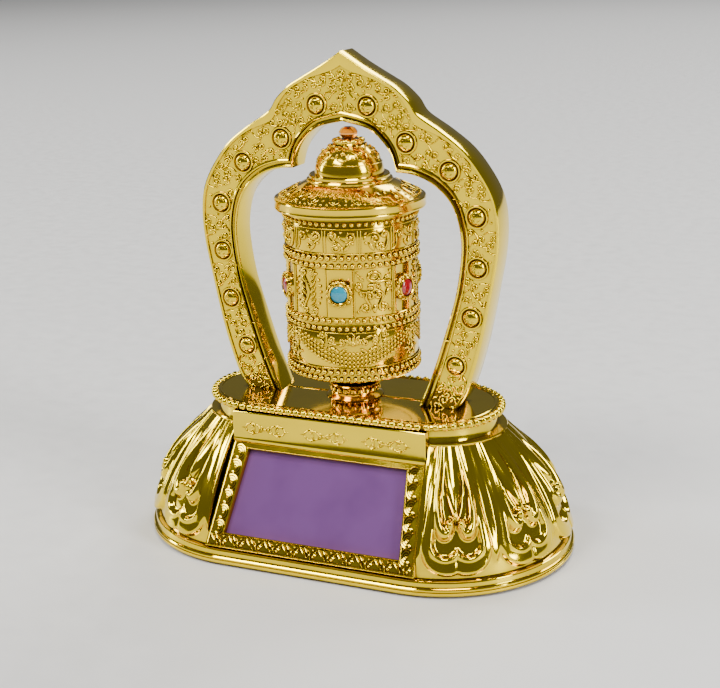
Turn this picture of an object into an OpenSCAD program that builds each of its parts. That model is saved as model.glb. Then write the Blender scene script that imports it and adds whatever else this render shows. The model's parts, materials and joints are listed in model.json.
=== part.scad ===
// Solar dashboard prayer wheel: a drum that spins inside an ogee arch on a lotus base.
// The base holds the solar panel, the motor and a two-stage reduction gear.
// +X is the viewer's right, -Y is the front and +Z is up. The origin is the centre of the
// resting plane, and the drum turns on the Z axis.

/* [Base] */
// Height of the deck that carries the arch and the drum
deck_z = 36; // [35:0.5:37]
// Half of the straight stretch of the base's outline
base_straight = 22.7; // [22:0.1:24]
// End radius of the plinth
plinth_r = 32; // [31.6:0.1:33]
// Half of the straight stretch of the neck and the deck
neck_straight = 20.2; // [19.5:0.1:21]
// End radius of the neck under the deck
neck_r = 15.6; // [15.4:0.1:16]
// Wall of the moulded shells
wall = 1.6; // [1.2:0.1:1.8]
// How far the lotus petals stand out of the dome
petal_rise = 1.2; // [0.8:0.1:1.5]
// Number of lotus petals round the dome
petal_count = 12; // [12:1:12]

/* [Front window] */
// Tilt of the front face from the horizontal
window_tilt = 58.5; // [57:0.5:60]
// Half width of the front face at its top and at its foot
face_top_half = 24.8; // [24:0.1:25.5]
face_foot_half = 26.8; // [26:0.1:27.5]
// Width of the side rails of the window
rail_w = 4.3; // [3.5:0.1:4.8]
// Depth of the panel behind the face
window_recess = 1.6; // [1.2:0.1:2]

/* [Arch] */
// Thickness of the arch, front to back
arch_t = 8; // [7:0.5:9]
// Radius of the round studs on the arch
stud_r = 1.9; // [1.5:0.1:2.1]

/* [Drum] */
// Radius of the drum's plain wall
drum_r = 15.6; // [15:0.1:15.8]
// Height of the drum's lower edge
drum_foot_z = 43.6; // [43:0.1:44]
// Height of the drum's upper edge under the lid
drum_top_z = 82.8; // [82:0.1:83]
// Radius of the lid's rim
lid_r = 18; // [17.5:0.1:18.3]
// Number of gems round the drum
gem_count = 6; // [6:2:6]
// Turn of the first gem from the +X axis
gem_turn = -77.5; // [-90:0.5:-60]

/* [Drive] */
// Module of all the gears
gear_module = 0.5; // [0.5:0.1:0.5]
// Teeth of the gear on the drum's spindle
drum_teeth = 48; // [48:4:48]
// Teeth of the idler's small and large gears
idler_small_teeth = 12; // [12:1:12]
idler_large_teeth = 40; // [40:4:40]
// Teeth of the motor's pinion
pinion_teeth = 10; // [10:1:10]
// Radius of the steel spindle
spindle_r = 1.5; // [1.5:0.1:1.6]
// Radial clearance of each shaft in its bush
running_gap = 0.05; // [0.02:0.01:0.1]

/* [Hidden] */
$fn = 96;
fine = 0.01;

gold = "#d9a92b";
deep_gold = "#c8881c";

foot_z = 0.6;
foot_h = 1;
plinth_step_z = 2.4;
plinth_top_z = 4;
upper_step_r = plinth_r - 0.8;
dome_top_z = 31;
dome_foot_r = plinth_r - 0.8;
dome_power = 1.8;
dome_steps = 12;
inner_plinth_r = plinth_r - 2;
plate_top_z = 2.4;

petal_foot_z = 5.2;
petal_top_z = 28.5;
petal_span = 26;
petal_path_r = 30.5;
petal_pitch = (4 * base_straight + 2 * PI * petal_path_r - 2 * face_foot_half) / petal_count;

face_top = [-17.8, 27.2];
face_foot_z = 4.8;
face_len = (face_top[1] - face_foot_z) / sin(window_tilt);
face_t = 3.4;
band_top_z = 34.2;
band_gap = 0.05;
top_rail = 1.9;
foot_rail = 3.7;
panel_half = 22.9;
panel_low = foot_rail - 0.6;
panel_high = face_len - top_rail + 0.5;
cover_t = 0.9;
cell_t = 0.7;

deck_t = 1.6;
deck_bead_r = 1;
deck_edge_r = 16.1;
spigot_h = 3;
post_r = 2;
posts = [[-11, -11], [-11, 11], [21, -12], [21, 12]];
arch_foot_x = 22.8;
field_sink = 0.6;
arch_screw_y = 2;

bottom_screw_xy = [36, 14];
rubber_foot_xy = [30, 22];

plate_z = 17.5;
plate_t = 2;
bush_r = 3;
axle_gap = 0.05;
idler_x = gear_module * (drum_teeth + idler_small_teeth) / 2 + axle_gap;
motor_x = idler_x + gear_module * (idler_large_teeth + pinion_teeth) / 2 + axle_gap;
motor_r = 10;
motor_h = 12.4;
motor_top_z = plate_z - 0.2;
motor_shaft_r = 1;
idler_axle_r = 1;
wheel_z = 20.4;
wheel_t = 2.5;
drum_gear_z = 24;
drum_gear_t = 3;
tooth_slack = 0.08;

board_z = 5.5;
board_t = 1.2;
lead_r = 0.5;

lid_rim_z = 85.5;
ledge_z = 88.9;
dome_base_z = 90.7;
lid_dome_r = 8.2;
lid_dome_h = 6.9;
gem_z = 65.3;
gem_r = 2;
bead_r = 0.75;
bead_rows = [81.3, 73.4, 71.6, 58.6, 56.8, 46.1, 44.5];

// Plan outline with straight sides and round ends.
module stadium(half_straight, end_r) {
    square([2 * half_straight, 2 * end_r], center = true);
    for (side = [-1, 1]) translate([side * half_straight, 0]) circle(end_r);
}

// Solid whose section [radius, height] runs along the stadium's outline.
module stadium_loft(half_straight, section) {
    for (side = [-1, 1]) translate([side * half_straight, 0, 0]) rotate_extrude() polygon(section);
    mirrored = [for (i = [len(section) - 1:-1:0]) [-section[i][0], section[i][1]]];
    translate([-half_straight, 0, 0]) rotate([90, 0, 90])
        linear_extrude(2 * half_straight) polygon(concat(section, mirrored));
}

// Radius of the petals' outer surface at a height.
function dome_r(z) = let (rise = (z - plinth_top_z) / (dome_top_z - plinth_top_z))
    neck_r + (dome_foot_r - neck_r) * (1 - pow(max(rise, 0), dome_power));

function dome_line(z0, z1, inset) = [for (i = [0:dome_steps])
    let (z = z0 + (z1 - z0) * i / dome_steps) [dome_r(z) - inset, z]];

module dome_solid(inset, z0) {
    stadium_loft(base_straight, concat([[0, z0]], dome_line(z0, dome_top_z, inset),
        [[0, dome_top_z]]));
}

// Place of petal k: the distance along the outline from the middle of the front.
function petal_s(k) = face_foot_half + petal_pitch * (k + 0.5);
function petal_angle(k) = -90 + (petal_s(k) - base_straight) / petal_path_r * 180 / PI;

module petal_section() {
    polygon(concat([[neck_r - 1, petal_top_z], [20, petal_foot_z]],
        [[dome_r(petal_foot_z) - petal_rise - 0.5, petal_foot_z]],
        dome_line(petal_foot_z + 1.2, petal_top_z, 0)));
}

module petals() {
    for (side = [0, 1]) mirror([side, 0, 0]) {
        for (k = [0:4]) translate([base_straight, 0, 0])
            rotate(petal_angle(k) - petal_span / 2) rotate_extrude(angle = petal_span)
                petal_section();
        back_x = base_straight - (petal_s(5) - base_straight - PI * petal_path_r);
        translate([back_x - 6.8, 0, 0]) rotate([90, 0, 90]) linear_extrude(13.6) petal_section();
    }
}

// Moves local [x, up the slope, outward] onto the sloping front face, from its foot.
module on_face() {
    translate([0, face_foot_y, face_foot_z]) rotate([window_tilt, 0, 0]) children();
}

module window_outline() {
    foot_half = face_foot_half - rail_w;
    top_half = face_top_half - rail_w;
    polygon([[-foot_half, foot_rail], [foot_half, foot_rail],
        [top_half, face_len - top_rail], [-top_half, face_len - top_rail]]);
}

// Side view of the front face: its outer line leans back at window_tilt, and its inner
// line runs parallel to it, face_t further in.
face_foot_y = face_top[0] - (face_top[1] - face_foot_z) / tan(window_tilt);
function face_in_y(z) = face_foot_y + face_t / sin(window_tilt) + (z - face_foot_z) / tan(window_tilt);
function face_in_z(y) = face_foot_z + (y - face_foot_y - face_t / sin(window_tilt)) * tan(window_tilt);

// Solid between two side walls that lean in towards the top, from a side view [y, z].
module between_face_sides(side_view, grow, top_z) {
    lean = (face_foot_half - face_top_half) / (face_top[1] - face_foot_z);
    foot_half = face_foot_half + grow + lean * (face_foot_z - plinth_top_z);
    top_half = face_top_half + grow;
    intersection() {
        translate([-40, 0, 0]) rotate([90, 0, 90]) linear_extrude(80) polygon(side_view);
        translate([0, 10, 0]) rotate([90, 0, 0]) linear_extrude(80) polygon([
            [-foot_half, plinth_top_z], [foot_half, plinth_top_z], [top_half, face_top[1]],
            [top_half, top_z], [-top_half, top_z], [-top_half, face_top[1]]]);
    }
}

// Space in front of the dome that the window frame fills.
module face_pocket() {
    back_y = -neck_r - band_gap;
    between_face_sides([[-50, plinth_top_z], [face_in_y(plinth_top_z) + band_gap, plinth_top_z],
        [back_y, face_in_z(back_y - band_gap)], [back_y, deck_z], [-50, deck_z]], band_gap, deck_z);
}

module base_shell() {
    color(gold) difference() {
        union() {
            difference() {
                union() {
                    translate([0, 0, foot_z]) linear_extrude(plinth_step_z - foot_z)
                        stadium(base_straight, plinth_r);
                    translate([0, 0, plinth_step_z]) linear_extrude(plinth_top_z - plinth_step_z)
                        stadium(base_straight, upper_step_r);
                    dome_solid(petal_rise, plinth_top_z);
                    petals();
                    translate([0, 0, plinth_top_z])
                        linear_extrude(deck_z - deck_t - plinth_top_z) stadium(neck_straight, neck_r);
                }
                dome_solid(petal_rise + wall, plinth_top_z);
                linear_extrude(plinth_top_z + 0.5) stadium(base_straight, inner_plinth_r - wall - 0.5);
                linear_extrude(plate_top_z) stadium(base_straight, inner_plinth_r);
                linear_extrude(deck_z) stadium(neck_straight, neck_r - wall + 0.2);
            }
            bottom_bosses();
        }
        face_pocket();
        for (x = [-1, 1], y = [-1, 1])
            translate([x * bottom_screw_xy[0], y * bottom_screw_xy[1], 0])
                cylinder(r = 0.82, h = 14);
    }
}

module bottom_bosses() {
    for (x = [-1, 1], y = [-1, 1])
        translate([x * bottom_screw_xy[0], y * bottom_screw_xy[1], plate_top_z])
            cylinder(r = 2.2, h = 20.4);
}

module front_window_frame() {
    back_y = -neck_r - 2 * band_gap;
    color(gold) difference() {
        between_face_sides([[face_foot_y + 0.5, plinth_top_z], [face_foot_y, face_foot_z], face_top,
            [face_top[0], band_top_z], [back_y, band_top_z], [back_y, face_in_z(back_y)],
            [face_in_y(plinth_top_z), plinth_top_z]], 0, band_top_z);
        on_face() translate([0, 0, -face_t - 1]) linear_extrude(face_t + 2) window_outline();
        on_face() translate([-panel_half - 0.1, panel_low - 0.1, -face_t - 1])
            cube([2 * panel_half + 0.2, panel_high - panel_low + 0.2,
                face_t + 1 - window_recess]);
    }
}

module panel_slab(top, thickness, margin) {
    on_face() translate([-panel_half + margin, panel_low + margin, top - thickness])
        cube([2 * (panel_half - margin), panel_high - panel_low - 2 * margin, thickness]);
}

module solar_cover() {
    color("#8d6a96") panel_slab(-window_recess, cover_t, 0);
}

module solar_cell() {
    color("#2b1f4a") panel_slab(-window_recess - cover_t, cell_t, 0.6);
}

module deck_plate() {
    color(gold) difference() {
        union() {
            stadium_loft(neck_straight, concat([[0, deck_z - deck_t]], deck_nose(), [[0, deck_z]]));
            translate([0, 0, deck_z - deck_t - spigot_h]) linear_extrude(spigot_h + fine)
                difference() {
                    stadium(neck_straight, neck_r - wall + 0.15);
                    stadium(neck_straight, neck_r - wall - 1);
                }
            translate([0, 0, deck_z - deck_t - 4]) cylinder(r = 5, h = 4.5);
            for (p = posts) translate([p[0], p[1], plate_z + plate_t])
                cylinder(r = post_r, h = deck_z - deck_t - plate_z - plate_t + fine);
        }
        cylinder(r = bush_r, h = 2 * deck_z);
        for (p = posts) translate([p[0], p[1], 0]) cylinder(r = 0.82, h = 26.5);
        for (x = [-1, 1], y = [-1, 1])
            translate([x * arch_foot_x, y * arch_screw_y, 0]) cylinder(r = 0.9, h = 2 * deck_z);
    }
}

// Half-round nose along the deck's edge, which the beads sit on.
function deck_nose() = [for (a = [-75:25:75])
    [deck_edge_r + deck_bead_r * cos(a), deck_z - deck_t / 2 + deck_t / 2 * sin(a) / sin(75)]];

module pedestal_collar() {
    color(deep_gold) rotate_extrude() difference() {
        union() {
            polygon([[0, deck_z], [6.6, deck_z], [6.2, deck_z + 0.8], [5.6, deck_z + 1.6],
                [5.6, deck_z + 2.6], [6.4, deck_z + 3.6], [0, deck_z + 3.6]]);
            translate([5.9, deck_z + 2]) circle(0.6);
        }
        square([2 * bush_r, 200], center = true);
        translate([0, deck_z + 3.2]) square([4.1, 1]);
    }
}

// Points on a smooth curve through the given points, with steps points per stretch.
function spline_point(a, b, c, d, t) = 0.5 * (2 * b + (c - a) * t
    + (2 * a - 5 * b + 4 * c - d) * t * t + (3 * b - a - 3 * c + d) * t * t * t);
function spline(p, steps) = concat([for (i = [0:len(p) - 2], j = [0:steps - 1])
    spline_point(p[max(i - 1, 0)], p[i], p[i + 1], p[min(i + 2, len(p) - 1)], j / steps)],
    [p[len(p) - 1]]);

// The arch's right half in [x, height]: the outer line from its foot over a notch to the
// point, and the inner line from its foot over a cusp to the crown of the opening.
arch_outer_leg = [[27.6, deck_z], [30.4, 41], [33.6, 52], [36.2, 65], [37.7, 74], [37.9, 81],
    [36.9, 86.6], [34.2, 91.8], [29.9, 97.2], [24.4, 101.4], [18.8, 105]];
arch_outer_tip = [[18.8, 105], [16.6, 108.1], [13.4, 111], [10, 113], [4.5, 116.1], [0, 119]];
arch_inner_leg = [[18.2, deck_z], [21.5, 44.4], [24.9, 55], [27.4, 64], [28.7, 73], [28.5, 78.5],
    [27.2, 83.4], [24.8, 87], [21, 89.9], [16.8, 91.4], [13.2, 91.7]];
arch_inner_tip = [[13.2, 91.7], [12.2, 95.2], [10.1, 98.4], [6.4, 101.4], [0, 103]];
arch_outer_half = joined(spline(arch_outer_leg, 3), spline(arch_outer_tip, 3));
arch_inner_half = joined(spline(arch_inner_leg, 3), spline(arch_inner_tip, 3));

function joined(a, b) = concat([for (i = [0:len(a) - 2]) a[i]], b);
function unit(v) = v / norm(v);
// A half line moved sideways, towards the right of its own direction when d is positive,
// without the points that a sharp corner would fold over.
function moved(line, d) = let (last = len(line) - 1) [for (i = [0:last])
    let (before = line[max(i - 1, 0)], after = line[min(i + 1, last)],
        run = unit(after - before), p = line[i] + d * [run[1], -run[0]],
        q = i == 0 ? [p[0], deck_z] : i == last ? [0, p[1]] : [max(p[0], 0), max(p[1], deck_z)])
    if (i == 0 || i == last || (p[1] > deck_z + 0.2 && p[0] > 0.2
        && min([for (v = line) norm(p - v)]) >= 0.96 * abs(d))) q];
function whole(half) = concat(half, [for (i = [len(half) - 2:-1:0]) [-half[i][0], half[i][1]]]);

module arch_band(grow_outer, grow_inner) {
    difference() {
        polygon(whole(moved(arch_outer_half, grow_outer)));
        polygon(whole(moved(arch_inner_half, grow_inner)));
        translate([-15, deck_z - 1]) square([30, 2]);
    }
}

arch_studs = [[6.4, 106.7], [15.7, 98.7], [26.1, 92.6], [32.6, 82.4], [32.8, 70.6],
    [31.2, 58.7], [27.4, 46.8]];

// Half of the arch, from the middle plane to its front face, as a hollow tray with a
// sunk field that carries the studs.
module arch_half_shell() {
    face = arch_t / 2;
    difference() {
        rotate([90, 0, 0]) linear_extrude(face) arch_band(0, 0);
        above(deck_z + 1.5) rotate([90, 0, 0]) translate([0, 0, face - field_sink])
            linear_extrude(2) arch_band(-1.6, 1.5);
        above(deck_z + 10) rotate([90, 0, 0]) translate([0, 0, -1])
            linear_extrude(face - field_sink - wall + 1) arch_band(-1.8, 1.8);
        for (side = [-1, 1]) translate([side * arch_foot_x, -arch_screw_y, deck_z - 1])
            cylinder(r = 0.82, h = 8);
    }
    for (side = [-1, 1], p = arch_studs) translate([side * p[0], field_sink - face, p[1]])
        rotate([90, 0, 0]) stud();
}

// The part of a shape that lies above a height.
module above(z) {
    intersection() {
        children();
        translate([-60, -20, z]) cube([120, 40, 100]);
    }
}

module stud() {
    rotate_extrude() intersection() {
        union() {
            translate([0, -0.6]) circle(stud_r);
            translate([stud_r + 0.6, 0]) circle(0.5);
            translate([0, -0.5]) square([stud_r + 0.6, 0.6]);
        }
        translate([0, -0.5]) square([stud_r + 1.2, 3]);
    }
}

module arch_front_shell() {
    color(gold) arch_half_shell();
}

module arch_back_shell() {
    color(gold) mirror([0, 1, 0]) arch_half_shell();
}

// Pan-head screw that points up, with the underside of its head at z = 0.
module screw(shank_r, head_r, head_h, length) {
    color("silver") difference() {
        union() {
            translate([0, 0, -head_h]) cylinder(r = head_r, h = head_h);
            cylinder(r = shank_r, h = length);
        }
        for (turn = [0, 90]) rotate(turn)
            translate([-head_r * 0.6, -0.2, -head_h - 1]) cube([head_r * 1.2, 0.4, 1.5]);
    }
}

module arch_screws() {
    for (x = [-1, 1], y = [-1, 1])
        translate([x * arch_foot_x, y * arch_screw_y, deck_z - deck_t]) screw(0.8, 1.7, 1.2, 7.5);
}

module bottom_plate() {
    color("#26262a") difference() {
        union() {
            translate([0, 0, foot_z]) linear_extrude(plate_top_z - foot_z)
                stadium(base_straight, inner_plinth_r - 0.1);
            for (x = [-34, -17], y = [-6, 6]) translate([x, y, plate_top_z - fine])
                cylinder(r = 1.6, h = board_z - plate_top_z + fine);
        }
        for (x = [-1, 1], y = [-1, 1]) {
            translate([x * bottom_screw_xy[0], y * bottom_screw_xy[1], 0]) {
                cylinder(r = 2.1, h = 1.7);
                cylinder(r = 0.95, h = 4);
            }
            translate([x * rubber_foot_xy[0], y * rubber_foot_xy[1], 0])
                cylinder(r = 4.1, h = foot_h);
        }
    }
}

module rubber_feet() {
    color("#1c1c1e") for (x = [-1, 1], y = [-1, 1])
        translate([x * rubber_foot_xy[0], y * rubber_foot_xy[1], 0]) rotate_extrude()
            polygon([[0, 0], [3.6, 0], [4, 0.4], [4, foot_h], [0, foot_h]]);
}

module bottom_screws() {
    for (x = [-1, 1], y = [-1, 1])
        translate([x * bottom_screw_xy[0], y * bottom_screw_xy[1], 1.7]) screw(0.8, 1.9, 1, 10);
}

module circuit_board() {
    color("#1f6b3a") translate([-38, -9, board_z]) difference() {
        cube([25, 18, board_t]);
        for (x = [4, 21], y = [3, 15]) translate([x, y, -1]) cylinder(r = 0.6, h = 4);
    }
}

module storage_capacitor() {
    color("#23346b") translate([-31, 0, board_z + board_t]) rotate_extrude()
        polygon([[0, 0], [3.4, 0], [3.4, 0.8], [3.1, 1.2], [3.4, 1.6], [3.4, 9], [3, 9.4], [0, 9.4]]);
}

module blocking_diode() {
    color("#303034") translate([-22, 4.2, board_z + board_t + 1.3]) rotate([90, 0, 0]) {
        translate([0, 0, -2.1]) cylinder(r = 1.3, h = 4.2);
        translate([0, 0, -4]) cylinder(r = 0.3, h = 8);
    }
    color("silver") for (y = [0.6, 7.8])
        translate([-22, y, board_z + board_t]) cylinder(r = 0.3, h = 1.3);
}

// Tube swept along a line of points, with an eight-sided section.
function runs(p) = [for (i = [0:len(p) - 1])
    unit(p[min(i + 1, len(p) - 1)] - p[max(i - 1, 0)])];
function sides(t, n, i = 0) = i >= len(t) ? [] : let (m = unit(n - (n * t[i]) * t[i]))
    concat([m], sides(t, m, i + 1));

module lead(points, radius) {
    corners = 8;
    line = spline(points, 4);
    along = runs(line);
    side = sides(along, [0.1, 0.3, 1]);
    count = len(line);
    shell = [for (i = [0:count - 1], k = [0:corners - 1])
        let (a = k * 360 / corners) line[i] + radius * (cos(a) * side[i]
            + sin(a) * cross(along[i], side[i]))];
    walls = [for (i = [0:count - 2], k = [0:corners - 1]) let (n = (k + 1) % corners)
        [i * corners + k, (i + 1) * corners + k, (i + 1) * corners + n, i * corners + n]];
    first = [for (k = [0:corners - 1]) k];
    last = [for (k = [corners - 1:-1:0]) (count - 1) * corners + k];
    polyhedron(shell, concat(walls, [first, last]));
}

// Routes of the leads, from the circuit board's underside to the cell and to the motor.
panel_route = [[-15, -2, 5.6], [-15, -2, 4.3], [-13, -6, 3.5], [-9, -12, 3.4], [-5, -17, 4],
    [-3.4, -20.6, 7.5], [-3, -22.2, 11], [-3, -23.15, 12.5]];
motor_route = [[-15, 5, 5.6], [-15, 5, 4.3], [-11, 6, 3.4], [-2, 6, 3.2], [10, 5, 3.2],
    [18, 3.4, 3.6], [20, 3, 4.3], [21.75, 3, 4.5]];
lead_step = 2.4;

module panel_leads() {
    color("#a02020") lead(panel_route, lead_r);
    color("#202020") lead([for (p = panel_route) p + [lead_step, 0, 0]], lead_r);
}

module motor_leads() {
    color("#a02020") lead(motor_route, lead_r);
    color("#202020") lead([for (p = motor_route) p + [0, -lead_step, 0]], lead_r);
}

module gearbox_plate() {
    color("#e8e6df") difference() {
        union() {
            translate([-11, -11, plate_z]) cube([32, 22, plate_t]);
            translate([12, -9, plate_z]) cube([24, 18, plate_t]);
            for (p = posts) translate([p[0], p[1], plate_z]) cylinder(r = 3, h = plate_t);
        }
        translate([0, 0, plate_z - 1]) cylinder(r = bush_r, h = 4);
        translate([idler_x, 0, plate_z - 1]) cylinder(r = idler_axle_r, h = 4);
        translate([motor_x, 0, plate_z - 1]) cylinder(r = 3.1, h = 4);
        for (p = posts) translate([p[0], p[1], plate_z - 1]) cylinder(r = 0.95, h = 4);
        for (y = [-5.5, 5.5]) translate([motor_x + 3, y, plate_z - 1]) cylinder(r = 0.95, h = 4);
    }
}

module gearbox_screws() {
    for (p = posts) translate([p[0], p[1], plate_z]) screw(0.8, 1.7, 1.2, 8.5);
}

module lower_thrust_bush() {
    color("#b5892e") translate([0, 0, plate_z - 2]) difference() {
        union() {
            cylinder(r = bush_r, h = 4.4);
            translate([0, 0, 4]) cylinder(r = 3.8, h = 0.4);
            cylinder(r = 3.8, h = 1.6);
        }
        translate([0, 0, 0.8]) cylinder(r = spindle_r + running_gap, h = 5);
    }
}

module upper_bush() {
    color("#b5892e") difference() {
        union() {
            translate([0, 0, deck_z - 5]) cylinder(r = bush_r, h = 8.6);
            translate([0, 0, deck_z + 3.2]) cylinder(r = 4, h = 0.4);
        }
        translate([0, 0, deck_z - 6]) cylinder(r = spindle_r + running_gap, h = 12);
    }
}

module motor_can() {
    color("#c9ccd1") translate([motor_x, 0, 0]) difference() {
        union() {
            translate([0, 0, motor_top_z - motor_h]) rotate_extrude() polygon([[0, 0],
                [motor_r - 0.8, 0], [motor_r, 0.8], [motor_r, motor_h - 0.8],
                [motor_r - 0.8, motor_h], [0, motor_h]]);
            translate([0, 0, motor_top_z - 0.1]) cylinder(r = 3, h = 1.6);
            for (y = [0.6, 3]) translate([-6, y - 0.8, motor_top_z - motor_h - 0.9])
                cube([1.4, 1.6, 1]);
        }
        translate([0, 0, motor_top_z - 4]) cylinder(r = motor_shaft_r + running_gap, h = 8);
        for (y = [-5.5, 5.5]) translate([3, y, motor_top_z - 2.6]) cylinder(r = 0.82, h = 4);
    }
}

module motor_screws() {
    for (y = [-5.5, 5.5]) translate([motor_x + 3, y, plate_z + plate_t])
        rotate([180, 0, 0]) screw(0.8, 1.6, 0.9, 4.2);
}

module motor_shaft() {
    color("silver") translate([motor_x, 0, motor_top_z - 3.9]) cylinder(r = motor_shaft_r, h = 9.8);
}

// One point on an involute flank, mirrored when hand is -1, for a tooth centred at angle.
function flank(base_r, r, half, hand, at) = let (turn = sqrt(max(r * r / (base_r * base_r) - 1, 0)),
    a = at + hand * (half - (turn * 180 / PI - atan(turn)))) r * [cos(a), sin(a)];

module gear_outline(teeth, turn) {
    pitch_r = gear_module * teeth / 2;
    base_r = pitch_r * cos(20);
    tip_r = pitch_r + gear_module;
    root_r = pitch_r - 1.2 * gear_module;
    start_r = max(base_r, root_r + 0.05);
    half = 90 / teeth + (tan(20) * 180 / PI - 20) - tooth_slack / pitch_r * 90 / PI;
    steps = [0, 0.4, 0.75, 1];
    polygon([for (k = [0:teeth - 1]) let (at = turn + k * 360 / teeth, foot = half + 0.4)
        each concat([root_r * [cos(at - foot), sin(at - foot)]],
            [for (s = steps) flank(base_r, start_r + s * (tip_r - start_r), half, -1, at)],
            [for (i = [3:-1:0]) flank(base_r, start_r + steps[i] * (tip_r - start_r), half, 1, at)],
            [root_r * [cos(at + foot), sin(at + foot)]])]);
}

module motor_pinion() {
    color("#c39a3c") translate([motor_x, 0, wheel_z - 0.2]) linear_extrude(wheel_t + 0.2) difference() {
        gear_outline(pinion_teeth, 180 / pinion_teeth + 180);
        circle(motor_shaft_r);
    }
}

module idler_axle() {
    color("silver") translate([idler_x, 0, plate_z]) cylinder(r = idler_axle_r, h = 11.7);
}

module idler_gear() {
    color("#efeee8") translate([idler_x, 0, wheel_z]) difference() {
        union() {
            linear_extrude(wheel_t) gear_outline(idler_large_teeth, 0);
            translate([0, 0, wheel_t - fine]) linear_extrude(4.4)
                gear_outline(idler_small_teeth, 180 / idler_small_teeth);
            translate([0, 0, -0.6]) cylinder(r = 2.4, h = 1);
        }
        translate([0, 0, -1]) cylinder(r = idler_axle_r + running_gap, h = 10);
        for (k = [0:4]) rotate(k * 72 + 36) translate([6.2, 0, -1]) cylinder(r = 1.7, h = 5);
    }
}

module idler_clip() {
    color("silver") translate([idler_x, 0, 27.6]) difference() {
        cylinder(r = 2.4, h = 0.5);
        translate([0, 0, -1]) cylinder(r = idler_axle_r, h = 3);
        translate([0, -0.6, -1]) cube([4, 1.2, 3]);
    }
}

module drum_gear() {
    color("#efeee8") translate([0, 0, drum_gear_z]) difference() {
        union() {
            linear_extrude(drum_gear_t) gear_outline(drum_teeth, 0);
            translate([0, 0, drum_gear_t - fine]) cylinder(r = 3.2, h = 3);
            translate([0, 0, -0.8]) cylinder(r = 3.2, h = 1);
        }
        translate([0, 0, -2]) cylinder(r = spindle_r, h = 10);
        for (k = [0:5]) rotate(k * 60 + 30) translate([7.4, 0, -1]) cylinder(r = 2, h = 6);
    }
}

module drum_spindle() {
    color("silver") translate([0, 0, plate_z - 1.15]) cylinder(r = spindle_r, h = 88.6 - plate_z);
}

// Disc that closes the drum's foot, with the beaded hub ring under it.
module drum_base_cap() {
    color(gold) rotate_extrude() difference() {
        union() {
            translate([0, drum_foot_z]) square([drum_r - wall, 2]);
            polygon([[0, 40], [5.4, 40], [6, 40.6], [6.9, 42.4], [6.9, drum_foot_z + 1],
                [0, drum_foot_z + 1]]);
            translate([6.3, 41.2]) circle(0.55);
            square([3.4, drum_foot_z + 5]);
        }
        translate([-1, -1]) square([1 + spindle_r, 100]);
        translate([0, -1]) square([10, 41]);
    }
}

module drum_shell() {
    color(gold) difference() {
        union() {
            rotate_extrude() difference() {
                union() {
                    translate([0, drum_foot_z]) square([drum_r, drum_top_z - drum_foot_z]);
                    for (z = bead_rows) translate([drum_r + 0.1, z]) circle(bead_r);
                    translate([0, 74.6]) square([drum_r + 0.3, 5.6]);
                    translate([0, 47.4]) square([drum_r + 0.3, 8.2]);
                }
                translate([-1, drum_foot_z - 1]) square([drum_r - wall + 1, 100]);
            }
            for (k = [0:gem_count - 1]) at_gem(k) cylinder(r = 3, h = 2.6);
        }
        for (k = [0:gem_count - 1]) at_gem(k) translate([0, 0, 1.6]) cylinder(r = gem_r, h = 4);
        translate([0, 0, drum_foot_z]) cylinder(r = drum_r - wall, h = 100);
    }
}

// Moves a shape to gem k, with its local Z pointing out of the drum.
module at_gem(k) {
    rotate(gem_turn + k * 360 / gem_count) translate([drum_r - 1.4, 0, gem_z]) rotate([0, 90, 0])
        children();
}

module gem() {
    translate([0, 0, 1.6]) rotate_extrude() intersection() {
        translate([0, -1.1]) circle(2.6);
        square([gem_r - 0.02, 3]);
    }
}

module turquoise_gems() {
    color("#27a7b8") for (k = [0:2:gem_count - 1]) at_gem(k) gem();
}

module ruby_gems() {
    color("#c4122f") for (k = [1:2:gem_count - 1]) at_gem(k) gem();
}

module prayer_roll() {
    color("#e6d9b5") translate([0, 0, 46.2]) difference() {
        cylinder(r = 12, h = 33);
        translate([0, 0, -1]) cylinder(r = 3.6, h = 40);
    }
}

// Stepped lid with its rim, skirt, ledges and dome, and a plug into the drum.
module drum_lid() {
    dome_arc = [for (i = [0:8]) let (a = i * 8.2)
        [lid_dome_r * cos(a), dome_base_z + lid_dome_h * sin(a) / sin(65.6)]];
    color(gold) rotate_extrude() difference() {
        polygon(concat([[0, drum_top_z - 3], [drum_r - wall, drum_top_z - 3],
            [drum_r - wall, drum_top_z], [lid_r - 0.3, drum_top_z], [lid_r, drum_top_z + 0.3],
            [lid_r, lid_rim_z - 0.2], [lid_r - 0.5, lid_rim_z], [10.6, ledge_z], [10.2, ledge_z],
            [10.2, ledge_z + 0.8], [9.5, ledge_z + 1], [9.5, dome_base_z]], dome_arc,
            [[3.6, 97.6], [3.6, 98.6], [0, 98.6]]));
        translate([3.4, drum_top_z - 4]) square([8.6, 6.2]);
        translate([-1, drum_top_z - 4]) square([1 + spindle_r, 10]);
        translate([-1, 90]) square([2, 10]);
    }
}

module finial() {
    color("#e08a1e") rotate_extrude() polygon(concat([[0, 95], [1, 95], [1, 98.6], [1.6, 98.6],
        [1.3, 99]], [for (i = [0:8]) let (a = -50 + i * 17.5)
        [2.3 * cos(a) * (a > 60 ? 0.9 : 1), 100 + 1.4 * sin(a)]], [[0, 101.4]]));
}

base_shell();
front_window_frame();
solar_cover();
solar_cell();
deck_plate();
pedestal_collar();
arch_front_shell();
arch_back_shell();
arch_screws();
bottom_plate();
rubber_feet();
bottom_screws();
circuit_board();
storage_capacitor();
blocking_diode();
panel_leads();
motor_leads();
gearbox_plate();
gearbox_screws();
lower_thrust_bush();
upper_bush();
motor_can();
motor_screws();
motor_shaft();
motor_pinion();
idler_axle();
idler_gear();
idler_clip();
drum_gear();
drum_spindle();
drum_base_cap();
drum_shell();
turquoise_gems();
ruby_gems();
prayer_roll();
drum_lid();
finial();
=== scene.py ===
"""Looks of the solar prayer wheel: plated gold relief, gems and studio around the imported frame."""

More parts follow.
